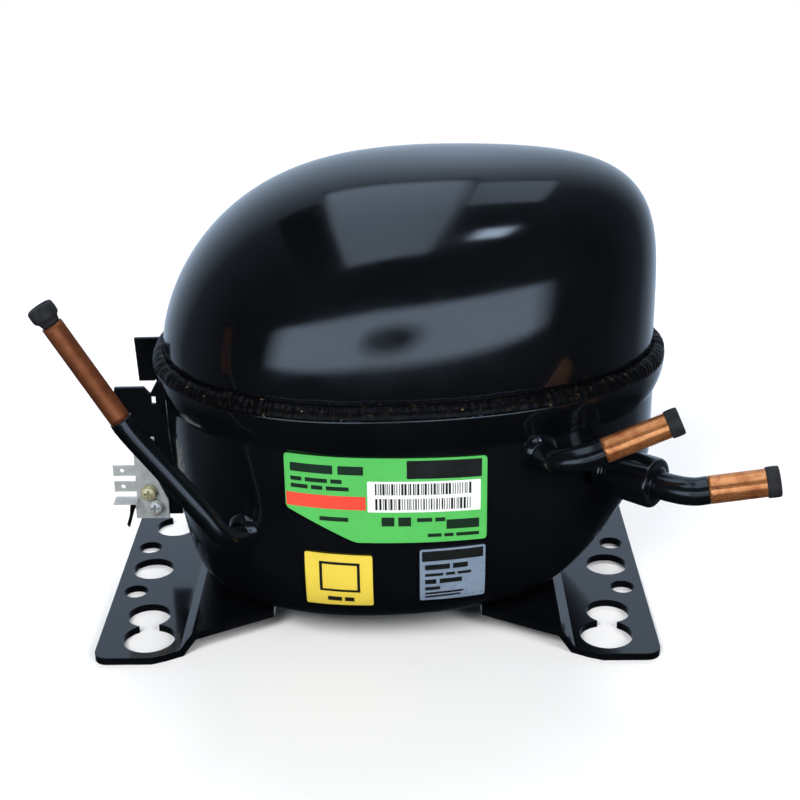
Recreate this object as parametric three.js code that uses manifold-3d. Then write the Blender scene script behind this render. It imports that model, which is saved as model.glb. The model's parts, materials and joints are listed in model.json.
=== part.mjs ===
// Hermetic reciprocating compressor for a small refrigerator.
// Millimetres, +Z up. The design frame has its origin at the centre of the mounting-hole
// pattern, on the ground plane of the feet. +X points to the tube side, -Y to the label side.
// The finished group is then shifted so that its origin is the bottom centre of its box.

import * as THREE from 'three';
import { mergeVertices } from 'three/addons/utils/BufferGeometryUtils.js';
import Module from 'manifold-3d';

const wasm = await Module();
wasm.setup();

// ---------------------------------------------------------------- driving dimensions

const GAP = 0.3;               // clearance between pieces that rest on each other

const EGG_X = -3;              // where the egg-shaped plan is deepest
const RIM = { left: 78.2, right: 108.7, depth: 67.7 };
const PLAN_POWER = 2.1;        // superellipse exponent of the plan
const AROUND = 40;             // facets around a shell

const WALL = 3;                // steel thickness of both shells
const SHELL_BOTTOM = 8.4;      // underside of the lower shell
const LEFT_CURVE = { top: 90, inset: 14.6, power: 2.06 };     // bottom corner on each side
const RIGHT_CURVE = { top: 57.6, inset: 31.9, power: 1.2 };
const FRONT_CURVE = { top: 36, inset: 24.5, power: 2 };
const FLAT_NORMAL = new THREE.Vector3(0.52, 0.74, -0.42).normalize();
const LEFT_FLAT = 47.6;        // distance of the pressed flats above the feet
const RIGHT_FLAT = 51.5;
const WALL_INSET = 3.5;        // wall below the flared rim, measured in from the rim
const FLARE_START = 82;
const RIM_TOP = 95;

const SKIRT_BOTTOM = 88.6;     // lower edge of the cover, inside the rim
const SKIRT_TOP = 92.5;
const SKIRT_INSET = 4.1;
const DOME_PLAN = { left: 74, right: 104.3, depth: 62.4 };
const DOME_START = 100;        // the cover is straight below this height
const DOME_TOP = 167.8;
const APEX_X = 28;             // the crown is highest here, nearer to the tube side
const DOME_LEFT = { power: 1.66, root: 2.84 };    // long slope
const DOME_RIGHT = { power: 4.95, root: 3.62 };   // boxy shoulder
const DOME_DEPTH = { power: 2.4, root: 2.4 };
const DOME_RINGS = 11;

const SHEET = 2.8;             // thickness of the feet
const FOOT_OUTER = 100.6;
const FOOT_DEPTH = 63.8;
const FOOT_STEP_OUTER = 70;
const FOOT_STEP_INNER = 65.6;
const FOOT_RAISE = 5.3;
const FOOT_INNER = 38;
const FOOT_CORNER = 5;
const FOOT_HOLES = [           // one quadrant; the others mirror it
  { x: 82.55, y: 50.8, r: 9.5 },
  { x: 85, y: 35, r: 8 },
  { x: 92.83, y: 17.4, r: 4.5 },
  { x: 88.86, y: 0, r: 8 },
];

// Radii of each tube: copper stub, bore, painted steel root, and rubber cap.
const PROCESS = { stub: 3.6, bore: 2.8, root: 3.95, cap: 4.6 };
const SUCTION = { stub: 4.25, bore: 3.4, root: 4.5, cap: 4.8 };
const DISCHARGE = { stub: 4.8, bore: 3.9, root: 4.8, cap: 5.35 };
const CAP_GRIP = 3;            // how far a stub reaches into its cap
const CAP_LENGTH = 4.6;
const PLUG_DEPTH = 4;          // how far the plug reaches into the process tube
const PLUG_LENGTH = 7.2;

const PROCESS_PATH = [
  [-42.6, -48.1, 47.8], [-48.3, -58.2, 47.6], [-52, -62.2, 50.8], [-57.2, -63.2, 58.9],
  [-68.4, -63, 74.2], [-82.9, -62.5, 94.2],
];
const PROCESS_END = [-102.25, -62, 127.6];
const SUCTION_PATH = [
  [54.5, -48.2, 77], [58.7, -58.9, 77], [61.3, -64, 78], [66.5, -66.8, 79.9], [76.4, -67.2, 83.3],
];
const SUCTION_END = [96.8, -67, 92.1];
const DISCHARGE_INNER = [73.8, -37.2, 65.5];
const DISCHARGE_START = [79.2, -41.7, 65.5];
const DISCHARGE_BARREL_END = [96.5, -56.1, 65.5];
const DISCHARGE_PATH = [
  [97, -56.5, 65.5], [100.2, -59.2, 65.5], [105, -61.9, 65.6], [112.7, -63, 66.4],
];
const DISCHARGE_END = [131.3, -65, 69.9];
const BARREL_R = 8.8;
const BARREL_BORE = 2.4;
const NECK_R = 6.6;
const COLLAR_R = 7.8;

const SHAFT_X = 8;             // motor and crank axis
const SHAFT_R = 8;
const STATOR_HALF = 48;
const STATOR_CORNER = 20;
const STATOR_BORE = 31.2;
const STATOR_BOTTOM = 40;
const STATOR_TOP = 84;
const ROTOR_R = 30.3;
const WINDING_IN = 33;
const WINDING_OUT = 39.2;
const BOLT_HALF = 33;          // stator bolts, suspension springs and their seats
const STATOR_BOLT_HOLE = 2.9;
const CASE_BOTTOM = 98;
const CASE_TOP = 106;
const CYLINDER_Z = 127;
const CYLINDER_R = 12.2;
const THROW = 10;
const ROD_LENGTH = 42;
const WRIST_X = SHAFT_X + THROW + ROD_LENGTH;     // piston at top dead centre
const BLOCK_START = 38;
const BLOCK_END = 70;
const WEB_BOTTOM = 112.3;
const WEB_TOP = 119;

const SPRING_BOTTOM = 14.8;
const SPRING_TOP = 32.6;
const SPRING_R = 6;
const SPRING_WIRE = 0.9;
const SPRING_TURNS = 4;
const SPRING_STEPS = 10;       // steps in one turn

const HEAD_BOLTS = [           // y and z
  [-15.5, 114], [15.5, 114], [-15.5, 136], [15.5, 136],
];
const HEAD_BOLT_HOLE = 2.4;
const LOOP_R = 1.8;            // discharge line inside the shell
const LEADS_R = 2.6;

const FENCE_FRONT = -6;        // front and rear plates of the terminal bracket
const FENCE_REAR = 30;
const FENCE_SHEET = 1.5;
const TERMINAL = { y: 12, z: 58, r: 14.5 };

// ---------------------------------------------------------------- materials

function paint(color, roughness, metalness) {
  return new THREE.MeshStandardMaterial({ color, roughness, metalness });
}

const blackPaint = paint(0x0b0e12, 0.16, 0.1);
const weldBlack = paint(0x14120f, 0.8, 0.2);
const copper = paint(0xb0683c, 0.38, 1.0);
const rubber = paint(0x17181a, 0.8, 0.0);
const zinc = paint(0xb9bbb5, 0.42, 1.0);
const yellowZinc = paint(0xc2b98c, 0.4, 1.0);
const greenLabel = paint(0x4fc95a, 0.5, 0.0);
const yellowLabel = paint(0xf2e21d, 0.5, 0.0);
const silverLabel = paint(0xa9b2bd, 0.35, 0.4);
const springSteel = paint(0x8d9196, 0.35, 1.0);
const castIron = paint(0x55585b, 0.6, 0.8);
const machined = paint(0xa6a9ad, 0.28, 1.0);
const laminations = paint(0x6a6e73, 0.5, 0.9);
const enamelWire = paint(0x9c4a24, 0.4, 0.7);
const aluminium = paint(0xc3c6c9, 0.4, 1.0);
const whitePlastic = paint(0xe7e4da, 0.55, 0.0);
const leadSleeve = paint(0xd9d4c4, 0.6, 0.0);

// ---------------------------------------------------------------- solid helpers

function toSolid(geometry) {
  const clean = geometry.clone();
  clean.deleteAttribute('normal');
  clean.deleteAttribute('uv');
  const merged = mergeVertices(clean, 1e-4);
  const index = merged.index.array;
  const mesh = new wasm.Mesh({
    numProp: 3,
    vertProperties: new Float32Array(merged.attributes.position.array),
    triVerts: new Uint32Array(index),
  });
  return new wasm.Manifold(mesh);
}

function toGeometry(solid) {
  const mesh = solid.getMesh();
  const geometry = new THREE.BufferGeometry();
  geometry.setAttribute('position', new THREE.BufferAttribute(mesh.vertProperties, 3));
  geometry.setIndex(new THREE.BufferAttribute(mesh.triVerts, 1));
  geometry.computeVertexNormals();
  return geometry;
}

function cut(base, ...tools) {
  let result = toSolid(base);
  for (const tool of tools) {
    result = result.subtract(toSolid(tool));
  }
  return toGeometry(result);
}

function join(base, ...others) {
  let result = toSolid(base);
  for (const other of others) {
    result = result.add(toSolid(other));
  }
  return toGeometry(result);
}

function common(a, b) {
  return toGeometry(toSolid(a).intersect(toSolid(b)));
}

// A box between two corners.
function block(low, high) {
  const size = high.map((value, axis) => value - low[axis]);
  const box = new THREE.BoxGeometry(...size);
  const middle = high.map((value, axis) => (value + low[axis]) / 2);
  return box.translate(...middle);
}

// An upright cylinder from z0 to z1.
function post(x, y, z0, z1, r, sides = 20) {
  const cylinder = new THREE.CylinderGeometry(r, r, z1 - z0, sides);
  return cylinder.rotateX(Math.PI / 2).translate(x, y, (z0 + z1) / 2);
}

// A cylinder along X.
function barX(x0, x1, y, z, r, sides = 20) {
  const cylinder = new THREE.CylinderGeometry(r, r, x1 - x0, sides);
  return cylinder.rotateZ(-Math.PI / 2).translate((x0 + x1) / 2, y, z);
}

// A cylinder between two points.
function rod(from, to, r, sides = 16) {
  const a = new THREE.Vector3(...from);
  const b = new THREE.Vector3(...to);
  const axis = b.clone().sub(a);
  const cylinder = new THREE.CylinderGeometry(r, r, axis.length(), sides);
  const turn = new THREE.Quaternion().setFromUnitVectors(new THREE.Vector3(0, 1, 0), axis.normalize());
  return cylinder.applyQuaternion(turn).translate(...a.add(b).multiplyScalar(0.5).toArray());
}

// A flat outline extruded upwards from z0.
function slab(points, z0, height) {
  const outline = new THREE.Shape(points.map(([x, y]) => new THREE.Vector2(x, y)));
  const solid = new THREE.ExtrudeGeometry(outline, { depth: height, bevelEnabled: false });
  return solid.translate(0, 0, z0);
}

// An outline in X and Z extruded along +Y from y0.
function plateXZ(points, y0, thickness) {
  const outline = new THREE.Shape(points.map(([x, z]) => new THREE.Vector2(x, z)));
  const solid = new THREE.ExtrudeGeometry(outline, { depth: thickness, bevelEnabled: false });
  return solid.rotateX(Math.PI / 2).translate(0, y0 + thickness, 0);
}

// A tube, or a solid bar where the bore is 0, along a smooth curve.
function pipe(points, r, bore, steps, sides = 12) {
  const places = points.map((point) => new THREE.Vector3(...point));
  return sweep(new THREE.CatmullRomCurve3(places, false, 'centripetal'), r, bore, steps, sides);
}

function sweep(path, r, bore, steps, sides) {
  const section = new THREE.Shape(ringPoints(r, sides));
  if (bore > 0) {
    section.holes.push(new THREE.Path(ringPoints(bore, sides)));
  }
  return new THREE.ExtrudeGeometry(section, { steps, extrudePath: path, bevelEnabled: false });
}

function ringPoints(r, sides) {
  const points = [];
  for (let i = 0; i < sides; i += 1) {
    const angle = (2 * Math.PI * i) / sides;
    points.push(new THREE.Vector2(r * Math.cos(angle), r * Math.sin(angle)));
  }
  return points;
}

function lathe(profile, sides = 24) {
  const turned = new THREE.LatheGeometry(profile.map(([r, z]) => new THREE.Vector2(r, z)), sides);
  return turned.rotateX(Math.PI / 2);
}

// ---------------------------------------------------------------- egg-shaped sections

function signedPower(value, power) {
  return Math.sign(value) * Math.abs(value) ** power;
}

// Half sizes of the plan at a distance in from the rim.
function planAt(inset) {
  return { x: EGG_X, left: RIM.left - inset, right: RIM.right - inset, depth: RIM.depth - inset };
}

function planPoint(half, angle) {
  const c = signedPower(Math.cos(angle), 2 / PLAN_POWER);
  const s = signedPower(Math.sin(angle), 2 / PLAN_POWER);
  const reach = c > 0 ? half.right : half.left;
  return [half.x + reach * c, half.depth * s];
}

// Front surface of a plan, on the label side.
function frontY(half, x) {
  const reach = x > EGG_X ? half.right : half.left;
  const along = Math.abs(x - EGG_X) / reach;
  return -half.depth * (1 - along ** PLAN_POWER) ** (1 / PLAN_POWER);
}

// A solid through a chain of rings. A ring with no size is a point on the axis, and the
// points of a ring that carries its distance inward are pressed flat at the corners.
function loft(rings, closed = false) {
  const positions = [];
  const index = [];
  const starts = [];
  for (const ring of rings) {
    starts.push(positions.length / 3);
    const count = ring.depth > 0 ? AROUND : 1;
    for (let i = 0; i < count; i += 1) {
      const [x, y] = count > 1 ? planPoint(ring, (2 * Math.PI * i) / AROUND) : [ring.x, 0];
      const pressed = ring.inward !== undefined;
      positions.push(...(pressed ? pressedFlat([x, y, ring.z], ring.inward) : [x, y, ring.z]));
    }
  }
  const last = closed ? rings.length : rings.length - 1;
  for (let k = 0; k < last; k += 1) {
    const next = (k + 1) % rings.length;
    for (let i = 0; i < AROUND; i += 1) {
      const j = (i + 1) % AROUND;
      const a = starts[k] + (rings[k].depth > 0 ? i : 0);
      const b = starts[k] + (rings[k].depth > 0 ? j : 0);
      const c = starts[next] + (rings[next].depth > 0 ? j : 0);
      const d = starts[next] + (rings[next].depth > 0 ? i : 0);
      if (a !== b) index.push(a, b, c);
      if (c !== d) index.push(a, c, d);
    }
  }
  const geometry = new THREE.BufferGeometry();
  geometry.setAttribute('position', new THREE.Float32BufferAttribute(positions, 3));
  geometry.setIndex(index);
  geometry.computeVertexNormals();
  return geometry;
}

const between0and1 = (value) => Math.min(1, Math.max(0, value));

// How far a bottom corner has come in at a height.
function cornerInset(curve, z, inward, bottom) {
  const fall = between0and1((curve.top - z) / (curve.top - bottom));
  return (curve.inset - inward) * (1 - (1 - fall ** curve.power) ** (1 / curve.power));
}

// Plan of the lower shell at a height: its outer surface, or one further in.
function wallPlan(z, inward = 0, bottom = SHELL_BOTTOM) {
  const rise = between0and1((z - FLARE_START) / (RIM_TOP - FLARE_START));
  const inset = WALL_INSET * (1 - rise) ** 2 + inward;
  return {
    x: EGG_X,
    left: RIM.left - inset - cornerInset(LEFT_CURVE, z, inward, bottom),
    right: RIM.right - inset - cornerInset(RIGHT_CURVE, z, inward, bottom),
    depth: RIM.depth - inset - cornerInset(FRONT_CURVE, z, inward, bottom),
    z,
    inward,
  };
}

// The four lower corners of the shell are pressed flat where the feet pass under them.
function pressedFlat([x, y, z], inward) {
  const outward = FLAT_NORMAL.clone();
  outward.x *= Math.sign(x);
  outward.y *= Math.sign(y);
  const point = new THREE.Vector3(x, y, z);
  const limit = (x > 0 ? RIGHT_FLAT : LEFT_FLAT) - inward;
  const over = Math.max(0, point.dot(outward) - limit);
  return point.addScaledVector(outward, -over).toArray();
}

function ringAt(z, inset) {
  return { ...planAt(inset), z };
}

const singlePoint = (x, z) => ({ x, left: 0, right: 0, depth: 0, z });

// ---------------------------------------------------------------- shells

function lowerShell() {
  const top = FRONT_CURVE.top;
  const straight = [46, 57, 70, FLARE_START, 85, 88, 91, RIM_TOP];
  const corner = [0, 0.3, 0.55, 0.78, 0.94, 1].map((part) => Math.sin((part * Math.PI) / 2));
  const floor = SHELL_BOTTOM + WALL;
  const outer = corner.map((part) => top - (top - SHELL_BOTTOM) * part).reverse();
  const inner = corner.map((part) => top - (top - floor) * part);
  const rings = [
    singlePoint(EGG_X, SHELL_BOTTOM),
    ...[...outer, ...straight].map((z) => wallPlan(z)),
    ...[...straight.reverse(), ...inner].map((z) => wallPlan(z, WALL, floor)),
    singlePoint(EGG_X, floor),
  ];
  const clearance = 0.6;
  return cut(
    loft(rings),
    barX(-90, -60, TERMINAL.y, TERMINAL.z, TERMINAL.r + 0.8, 20),
    rod(PROCESS_PATH[0], PROCESS_PATH[1], PROCESS.root + clearance, 12),
    rod(SUCTION_PATH[0], SUCTION_PATH[1], SUCTION.root + clearance, 12),
    rod(DISCHARGE_INNER, along(DISCHARGE_START, DISCHARGE_BARREL_END, 3), DISCHARGE.root, 12),
  );
}

// Section of the cover at a part of its crown, from 0 at the start to 1 at the apex.
function domeRing(part, thickness) {
  const side = (curve) => Math.max(0, 1 - part ** curve.power) ** (1 / curve.root);
  const lean = APEX_X - EGG_X;
  const x = EGG_X + lean * part ** 2;
  const low = APEX_X - (DOME_PLAN.left - thickness + lean) * side(DOME_LEFT);
  const high = APEX_X + (DOME_PLAN.right - thickness - lean) * side(DOME_RIGHT);
  return {
    x,
    left: x - low,
    right: high - x,
    depth: (DOME_PLAN.depth - thickness) * side(DOME_DEPTH),
    z: DOME_START + (DOME_TOP - thickness - DOME_START) * part,
  };
}

function topCover() {
  const parts = [];
  for (let i = 0; i < DOME_RINGS; i += 1) {
    parts.push(Math.sin(((i / DOME_RINGS) * Math.PI) / 2) ** 0.77);
  }
  const rings = [singlePoint(APEX_X, DOME_TOP)];
  for (const part of [...parts].reverse()) {
    rings.push(domeRing(part, 0));
  }
  rings.push({ ...domeRing(0, 0), z: RIM_TOP - 0.5 });
  rings.push(ringAt(SKIRT_TOP, SKIRT_INSET));
  rings.push(ringAt(SKIRT_BOTTOM, SKIRT_INSET));
  rings.push(ringAt(SKIRT_BOTTOM, SKIRT_INSET + WALL));
  rings.push(ringAt(SKIRT_TOP, SKIRT_INSET + WALL));
  for (const part of parts) {
    rings.push(domeRing(part, WALL));
  }
  rings.push(singlePoint(APEX_X, DOME_TOP - WALL));
  return loft(rings.reverse());
}

function weldBead() {
  const bottom = RIM_TOP + 0.4;
  const inner = domeRing(0, -GAP);
  const outer = [[0.4, bottom], [0, 96.7], [0.6, 98.2], [2.6, 99.5]];
  return loft([
    { ...inner, z: bottom },
    ...outer.map(([inset, z]) => ringAt(z, inset)),
    { ...inner, z: 100.2 },
  ], true);
}

// ---------------------------------------------------------------- feet

function foot(side) {
  const raised = FOOT_RAISE + SHEET;
  const profile = [
    [FOOT_INNER, FOOT_RAISE], [FOOT_STEP_INNER - 0.8, FOOT_RAISE], [FOOT_STEP_OUTER - 0.8, 0],
    [FOOT_OUTER, 0], [FOOT_OUTER, SHEET], [FOOT_STEP_OUTER + 0.4, SHEET],
    [FOOT_STEP_INNER + 0.4, raised], [FOOT_INNER, raised],
  ];
  const bent = plateXZ(profile, -FOOT_DEPTH, 2 * FOOT_DEPTH);
  const half = [[FOOT_INNER, 41], [67, 57.3], [70.5, 59.2], [75, 61.8], [80, FOOT_DEPTH]];
  for (let i = 0; i <= 4; i += 1) {
    const angle = (Math.PI / 2) * (1 - i / 4);
    const x = FOOT_OUTER - FOOT_CORNER + FOOT_CORNER * Math.cos(angle);
    half.push([x, FOOT_DEPTH - FOOT_CORNER + FOOT_CORNER * Math.sin(angle)]);
  }
  const front = half.map(([x, y]) => [x, -y]);
  const outline = slab([...front, ...half.reverse()], -1, raised + 2);
  const holes = [];
  for (const hole of FOOT_HOLES) {
    for (const y of new Set([hole.y, -hole.y])) {
      holes.push(post(hole.x, y, -5, 15, hole.r, 16));
    }
  }
  const right = cut(common(bent, outline), ...holes);
  return side > 0 ? right : mirrorX(right);
}

function mirrorX(geometry) {
  const mirrored = geometry.clone().scale(-1, 1, 1);
  const index = mirrored.index.array;
  for (let i = 0; i < index.length; i += 3) {
    [index[i], index[i + 1]] = [index[i + 1], index[i]];
  }
  mirrored.computeVertexNormals();
  return mirrored;
}

// ---------------------------------------------------------------- tubes

// The point a given distance from a towards b.
function along(a, b, distance) {
  const start = new THREE.Vector3(...a);
  const direction = new THREE.Vector3(...b).sub(start).normalize();
  return start.addScaledVector(direction, distance).toArray();
}

const last = (path) => path[path.length - 1];

// The bent root of a tube. It leaves its last point in line with the stub.
function tubeRoot(path, end, tube, steps) {
  const lead = along(last(path), end, -4);
  return pipe([...path.slice(0, -1), lead, last(path)], tube.root, tube.bore, steps, 10);
}

// The straight copper stub, which goes on past its end by the grip of a cap.
function stub(path, end, tube, grip) {
  const from = along(last(path), end, GAP);
  const to = along(end, last(path), -grip);
  return pipe([from, along(from, to, 10), to], tube.stub, tube.bore, 2);
}

// Turns a piece from upright at the origin to the end of a tube, in line with its stub.
function atTubeEnd(geometry, path, end) {
  const away = new THREE.Vector3(...end).sub(new THREE.Vector3(...last(path))).normalize();
  const turn = new THREE.Quaternion().setFromUnitVectors(new THREE.Vector3(0, 0, 1), away);
  return geometry.applyQuaternion(turn).translate(...end);
}

// A rubber cap over the end of a tube, closed at the far side.
function tubeCap(path, end, tube) {
  const socket = tube.stub + 0.15;
  const ceiling = CAP_GRIP + GAP;
  return atTubeEnd(lathe([
    [0, ceiling], [socket, ceiling], [socket, 0], [tube.cap, 0],
    [tube.cap, CAP_LENGTH - 0.5], [tube.cap - 0.5, CAP_LENGTH], [0, CAP_LENGTH],
  ], 16), path, end);
}

// A rubber plug in the end of the process tube.
function tubePlug(path, end, tube) {
  const inTube = tube.bore - GAP;
  const neck = tube.stub - 0.1;
  return atTubeEnd(lathe([
    [0, -PLUG_DEPTH], [inTube, -PLUG_DEPTH], [inTube, GAP], [neck, GAP], [neck, 1.8],
    [tube.cap, 2.8], [tube.cap, PLUG_LENGTH - 0.6], [tube.cap - 0.6, PLUG_LENGTH],
    [0, PLUG_LENGTH],
  ], 16), path, end);
}

function dischargeBarrel() {
  const at = (distance) => along(DISCHARGE_START, DISCHARGE_BARREL_END, distance);
  return cut(
    join(
      rod(at(2), at(3.7), COLLAR_R, 18),
      rod(at(3), at(7), NECK_R, 16),
      rod(at(6), DISCHARGE_BARREL_END, BARREL_R, 22),
      rod(DISCHARGE_INNER, at(2.5), 3.8, 12),
    ),
    rod(along(DISCHARGE_INNER, DISCHARGE_START, -2), at(30), BARREL_BORE, 8),
  );
}

// ---------------------------------------------------------------- labels

// A thin sticker on the front of the lower shell. bottom and top give its edges at each x.
function label(x0, x1, bottom, top, columns, rows) {
  const positions = [];
  const index = [];
  const layers = [0.35, 0.7];
  for (const proud of layers) {
    for (let row = 0; row <= rows; row += 1) {
      for (let column = 0; column <= columns; column += 1) {
        const x = x0 + ((x1 - x0) * column) / columns;
        const z = bottom(x) + ((top(x) - bottom(x)) * row) / rows;
        positions.push(x, frontY(wallPlan(z, -proud), x), z);
      }
    }
  }
  const width = columns + 1;
  const layer = width * (rows + 1);
  const quad = (a, b, c, d) => index.push(a, b, c, a, c, d);
  for (let row = 0; row < rows; row += 1) {
    for (let column = 0; column < columns; column += 1) {
      const a = row * width + column;
      quad(a, a + width, a + width + 1, a + 1);
      quad(layer + a, layer + a + 1, layer + a + width + 1, layer + a + width);
    }
  }
  for (let column = 0; column < columns; column += 1) {
    const high = rows * width + column;
    quad(column, column + 1, layer + column + 1, layer + column);
    quad(high + 1, high, layer + high, layer + high + 1);
  }
  for (let row = 0; row < rows; row += 1) {
    const left = row * width;
    const right = left + columns;
    quad(left + width, left, layer + left, layer + left + width);
    quad(right, right + width, layer + right + width, layer + right);
  }
  const geometry = new THREE.BufferGeometry();
  geometry.setAttribute('position', new THREE.Float32BufferAttribute(positions, 3));
  geometry.setIndex(index);
  geometry.computeVertexNormals();
  return geometry;
}

// A straight edge through two points, as a height at each x.
const edge = ([x0, z0], [x1, z1]) => (x) => z0 + ((z1 - z0) * (x - x0)) / (x1 - x0);

// The large label has its lower left corner cut off at a slant.
function slantedBottom(x) {
  const slant = edge([-29.8, 61], [-6.5, 48.7]);
  const rest = edge([-6.5, 48.7], [38.4, 47.4]);
  return Math.max(slant(x), rest(x));
}

// ---------------------------------------------------------------- terminal side

function terminal() {
  const { y, z, r } = TERMINAL;
  const cup = cut(barX(-80, -70, y, z, r, 20), barX(-81, -76, y, z, r - 3, 20));
  const pins = [90, 210, 330].map((degrees) => {
    const angle = (degrees * Math.PI) / 180;
    return barX(-89, -66, y + 6.4 * Math.cos(angle), z + 6.4 * Math.sin(angle), 1.6, 8);
  });
  return join(cup, ...pins);
}

// A bent bracket round the terminal: two plates, a strip between them and a raised tab.
function terminalFence() {
  const front = plateXZ([
    [-96.4, 25.4], [-95.4, 24.2], [-93.9, 29], [-92.9, 32], [-91.2, 34.6], [-89.6, 30],
    [-74.4, 30], [-76.5, 46], [-77.6, 60], [-78, 80], [-80.2, 85.4], [-83.3, 79.7],
    [-85.6, 82.4], [-96.4, 82.3], [-98.5, 66.5], [-97.9, 64], [-96.4, 62.9], [-90.6, 58.6],
    [-90.6, 38], [-94.2, 35.5], [-95.1, 29.3],
  ], FENCE_FRONT, FENCE_SHEET);
  const rear = plateXZ([
    [-87.5, 30], [-79.4, 30], [-79.4, 88.5], [-94.7, 88.3], [-94, 70.3], [-87.8, 70.3],
    [-86.6, 72.3], [-86.6, 62], [-87.5, 62],
  ], FENCE_REAR, FENCE_SHEET);
  const strip = block([-80.9, FENCE_FRONT, 30], [-79.4, FENCE_REAR + FENCE_SHEET, 64]);
  const arm = block([-83, FENCE_REAR, 40], [-70.7, FENCE_REAR + FENCE_SHEET, 70]);
  const window = barX(-90, -78.9, TERMINAL.y, TERMINAL.z, TERMINAL.r + 1.5, 20);
  const slots = [block([-83, -10, 75.7], [-81.4, 0, 78.6]), block([-85, -10, 59.6], [-83.2, 0, 62.2])];
  return cut(join(front, rear, strip, arm), window, ...slots);
}

const EARTH_FACE = FENCE_FRONT - GAP;
const EARTH_SHEET = 0.8;
const EARTH_SCREWS = [{ x: -86.4, z: 40 }, { x: -84.4, z: 33.9 }];
const SPADE_HEIGHTS = [48.9, 42.3];

function earthBracket() {
  const y0 = EARTH_FACE - EARTH_SHEET;
  const plate = plateXZ([
    [-92.1, 28.8], [-79.5, 28.7], [-79.5, 36.5], [-82.6, 44], [-88.4, 58], [-91.2, 58],
    [-91.4, 36.4], [-92.2, 36.4],
  ], y0, EARTH_SHEET);
  const blades = SPADE_HEIGHTS.map((z) => block([-99.5, y0, z - 2.1], [-91, y0 + EARTH_SHEET, z + 2.1]));
  const folded = block([-99.4, y0 - 4.8, 37], [-90.6, y0 + EARTH_SHEET, 37.8]);
  const holes = SPADE_HEIGHTS.map((z) => rod([-96.2, y0 - 2, z], [-96.2, y0 + 2, z], 0.9, 10));
  const screwHoles = EARTH_SCREWS.map(({ x, z }) => rod([x, y0 - 2, z], [x, y0 + 2, z], 2.1, 12));
  return cut(join(plate, ...blades, folded), ...holes, ...screwHoles);
}

function panHeadScrew({ x, z }) {
  const seat = EARTH_FACE - EARTH_SHEET - GAP;
  const head = lathe([[0, 0], [3.1, 0], [3.1, 1], [2.4, 1.9], [1.2, 2.3], [0, 2.3]], 16);
  head.rotateX(Math.PI / 2).translate(x, seat, z);
  const recess = [
    block([x - 1.6, seat - 3, z - 0.4], [x + 1.6, seat - 1.1, z + 0.4]),
    block([x - 0.4, seat - 3, z - 1.6], [x + 0.4, seat - 1.1, z + 1.6]),
  ];
  const shank = rod([x, seat - 0.5, z], [x, FENCE_FRONT - 0.05, z], 1.7, 12);
  return cut(join(head, shank), ...recess);
}

// ---------------------------------------------------------------- suspension

// Calls a function with the x and y of each suspension corner.
function atCorners(make) {
  const signs = [[-1, -1], [1, -1], [-1, 1], [1, 1]];
  return signs.map(([sx, sy], i) => make(SHAFT_X + sx * BOLT_HALF, sy * BOLT_HALF, i));
}

function springSeat(x, y) {
  return join(
    post(x, y, SHELL_BOTTOM + WALL + 1.2, SPRING_BOTTOM - 0.7, 2.8, 10),
    post(x, y, SPRING_BOTTOM - 0.9, SPRING_BOTTOM - 0.3, 6.2, 12),
    post(x, y, SPRING_BOTTOM - 0.6, SPRING_BOTTOM + 5, 4.4, 10),
  );
}

function springCurve(x, y) {
  const height = SPRING_TOP - SPRING_BOTTOM - 2 * SPRING_WIRE;
  const curve = new THREE.Curve();
  curve.getPoint = (t, target = new THREE.Vector3()) => {
    const angle = 2 * Math.PI * SPRING_TURNS * t;
    const z = SPRING_BOTTOM + SPRING_WIRE + height * t;
    return target.set(x + SPRING_R * Math.cos(angle), y + SPRING_R * Math.sin(angle), z);
  };
  return curve;
}

function suspensionSpring(x, y) {
  return sweep(springCurve(x, y), SPRING_WIRE, 0, SPRING_TURNS * SPRING_STEPS, 5);
}

// Stator bolt with the spring's upper peg under its head.
function statorBolt(x, y) {
  return join(
    post(x, y, 27, 33, 4.4, 10),
    post(x, y, 32.9, 36, 6.4, 12),
    post(x, y, 35.9, STATOR_BOTTOM - GAP, 4.6, 6),
    post(x, y, STATOR_BOTTOM - 1, 95, 2.4, 8),
  );
}

// ---------------------------------------------------------------- motor

function statorCore() {
  const inner = STATOR_HALF - STATOR_CORNER;
  const outline = [];
  for (const [sx, sy, start] of [[1, 1, 0], [-1, 1, 90], [-1, -1, 180], [1, -1, 270]]) {
    for (let i = 0; i <= 5; i += 1) {
      const angle = ((start + i * 18) * Math.PI) / 180;
      const x = SHAFT_X + sx * inner + STATOR_CORNER * Math.cos(angle);
      outline.push([x, sy * inner + STATOR_CORNER * Math.sin(angle)]);
    }
  }
  const holes = atCorners((x, y) => post(x, y, 30, 90, STATOR_BOLT_HOLE, 8));
  const bore = post(SHAFT_X, 0, 30, 90, STATOR_BORE, 32);
  return cut(slab(outline, STATOR_BOTTOM, STATOR_TOP - STATOR_BOTTOM), bore, ...holes);
}

function winding(z0, z1) {
  const round = 2.4;
  const profile = [
    [WINDING_IN, z0 + round], [WINDING_IN + round, z0], [WINDING_OUT - round, z0],
    [WINDING_OUT, z0 + round], [WINDING_OUT, z1 - round], [WINDING_OUT - round, z1],
    [WINDING_IN + round, z1], [WINDING_IN, z1 - round], [WINDING_IN, z0 + round],
  ];
  return lathe(profile, 24).translate(SHAFT_X, 0, 0);
}

function rotorCore() {
  return cut(
    join(
      post(SHAFT_X, 0, STATOR_BOTTOM, STATOR_TOP, ROTOR_R, 32),
      post(SHAFT_X, 0, STATOR_BOTTOM - 4, STATOR_TOP + 4, ROTOR_R - 5, 24),
    ),
    post(SHAFT_X, 0, 30, 95, SHAFT_R + 0.4, 20),
  );
}

// ---------------------------------------------------------------- crank mechanism

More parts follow.
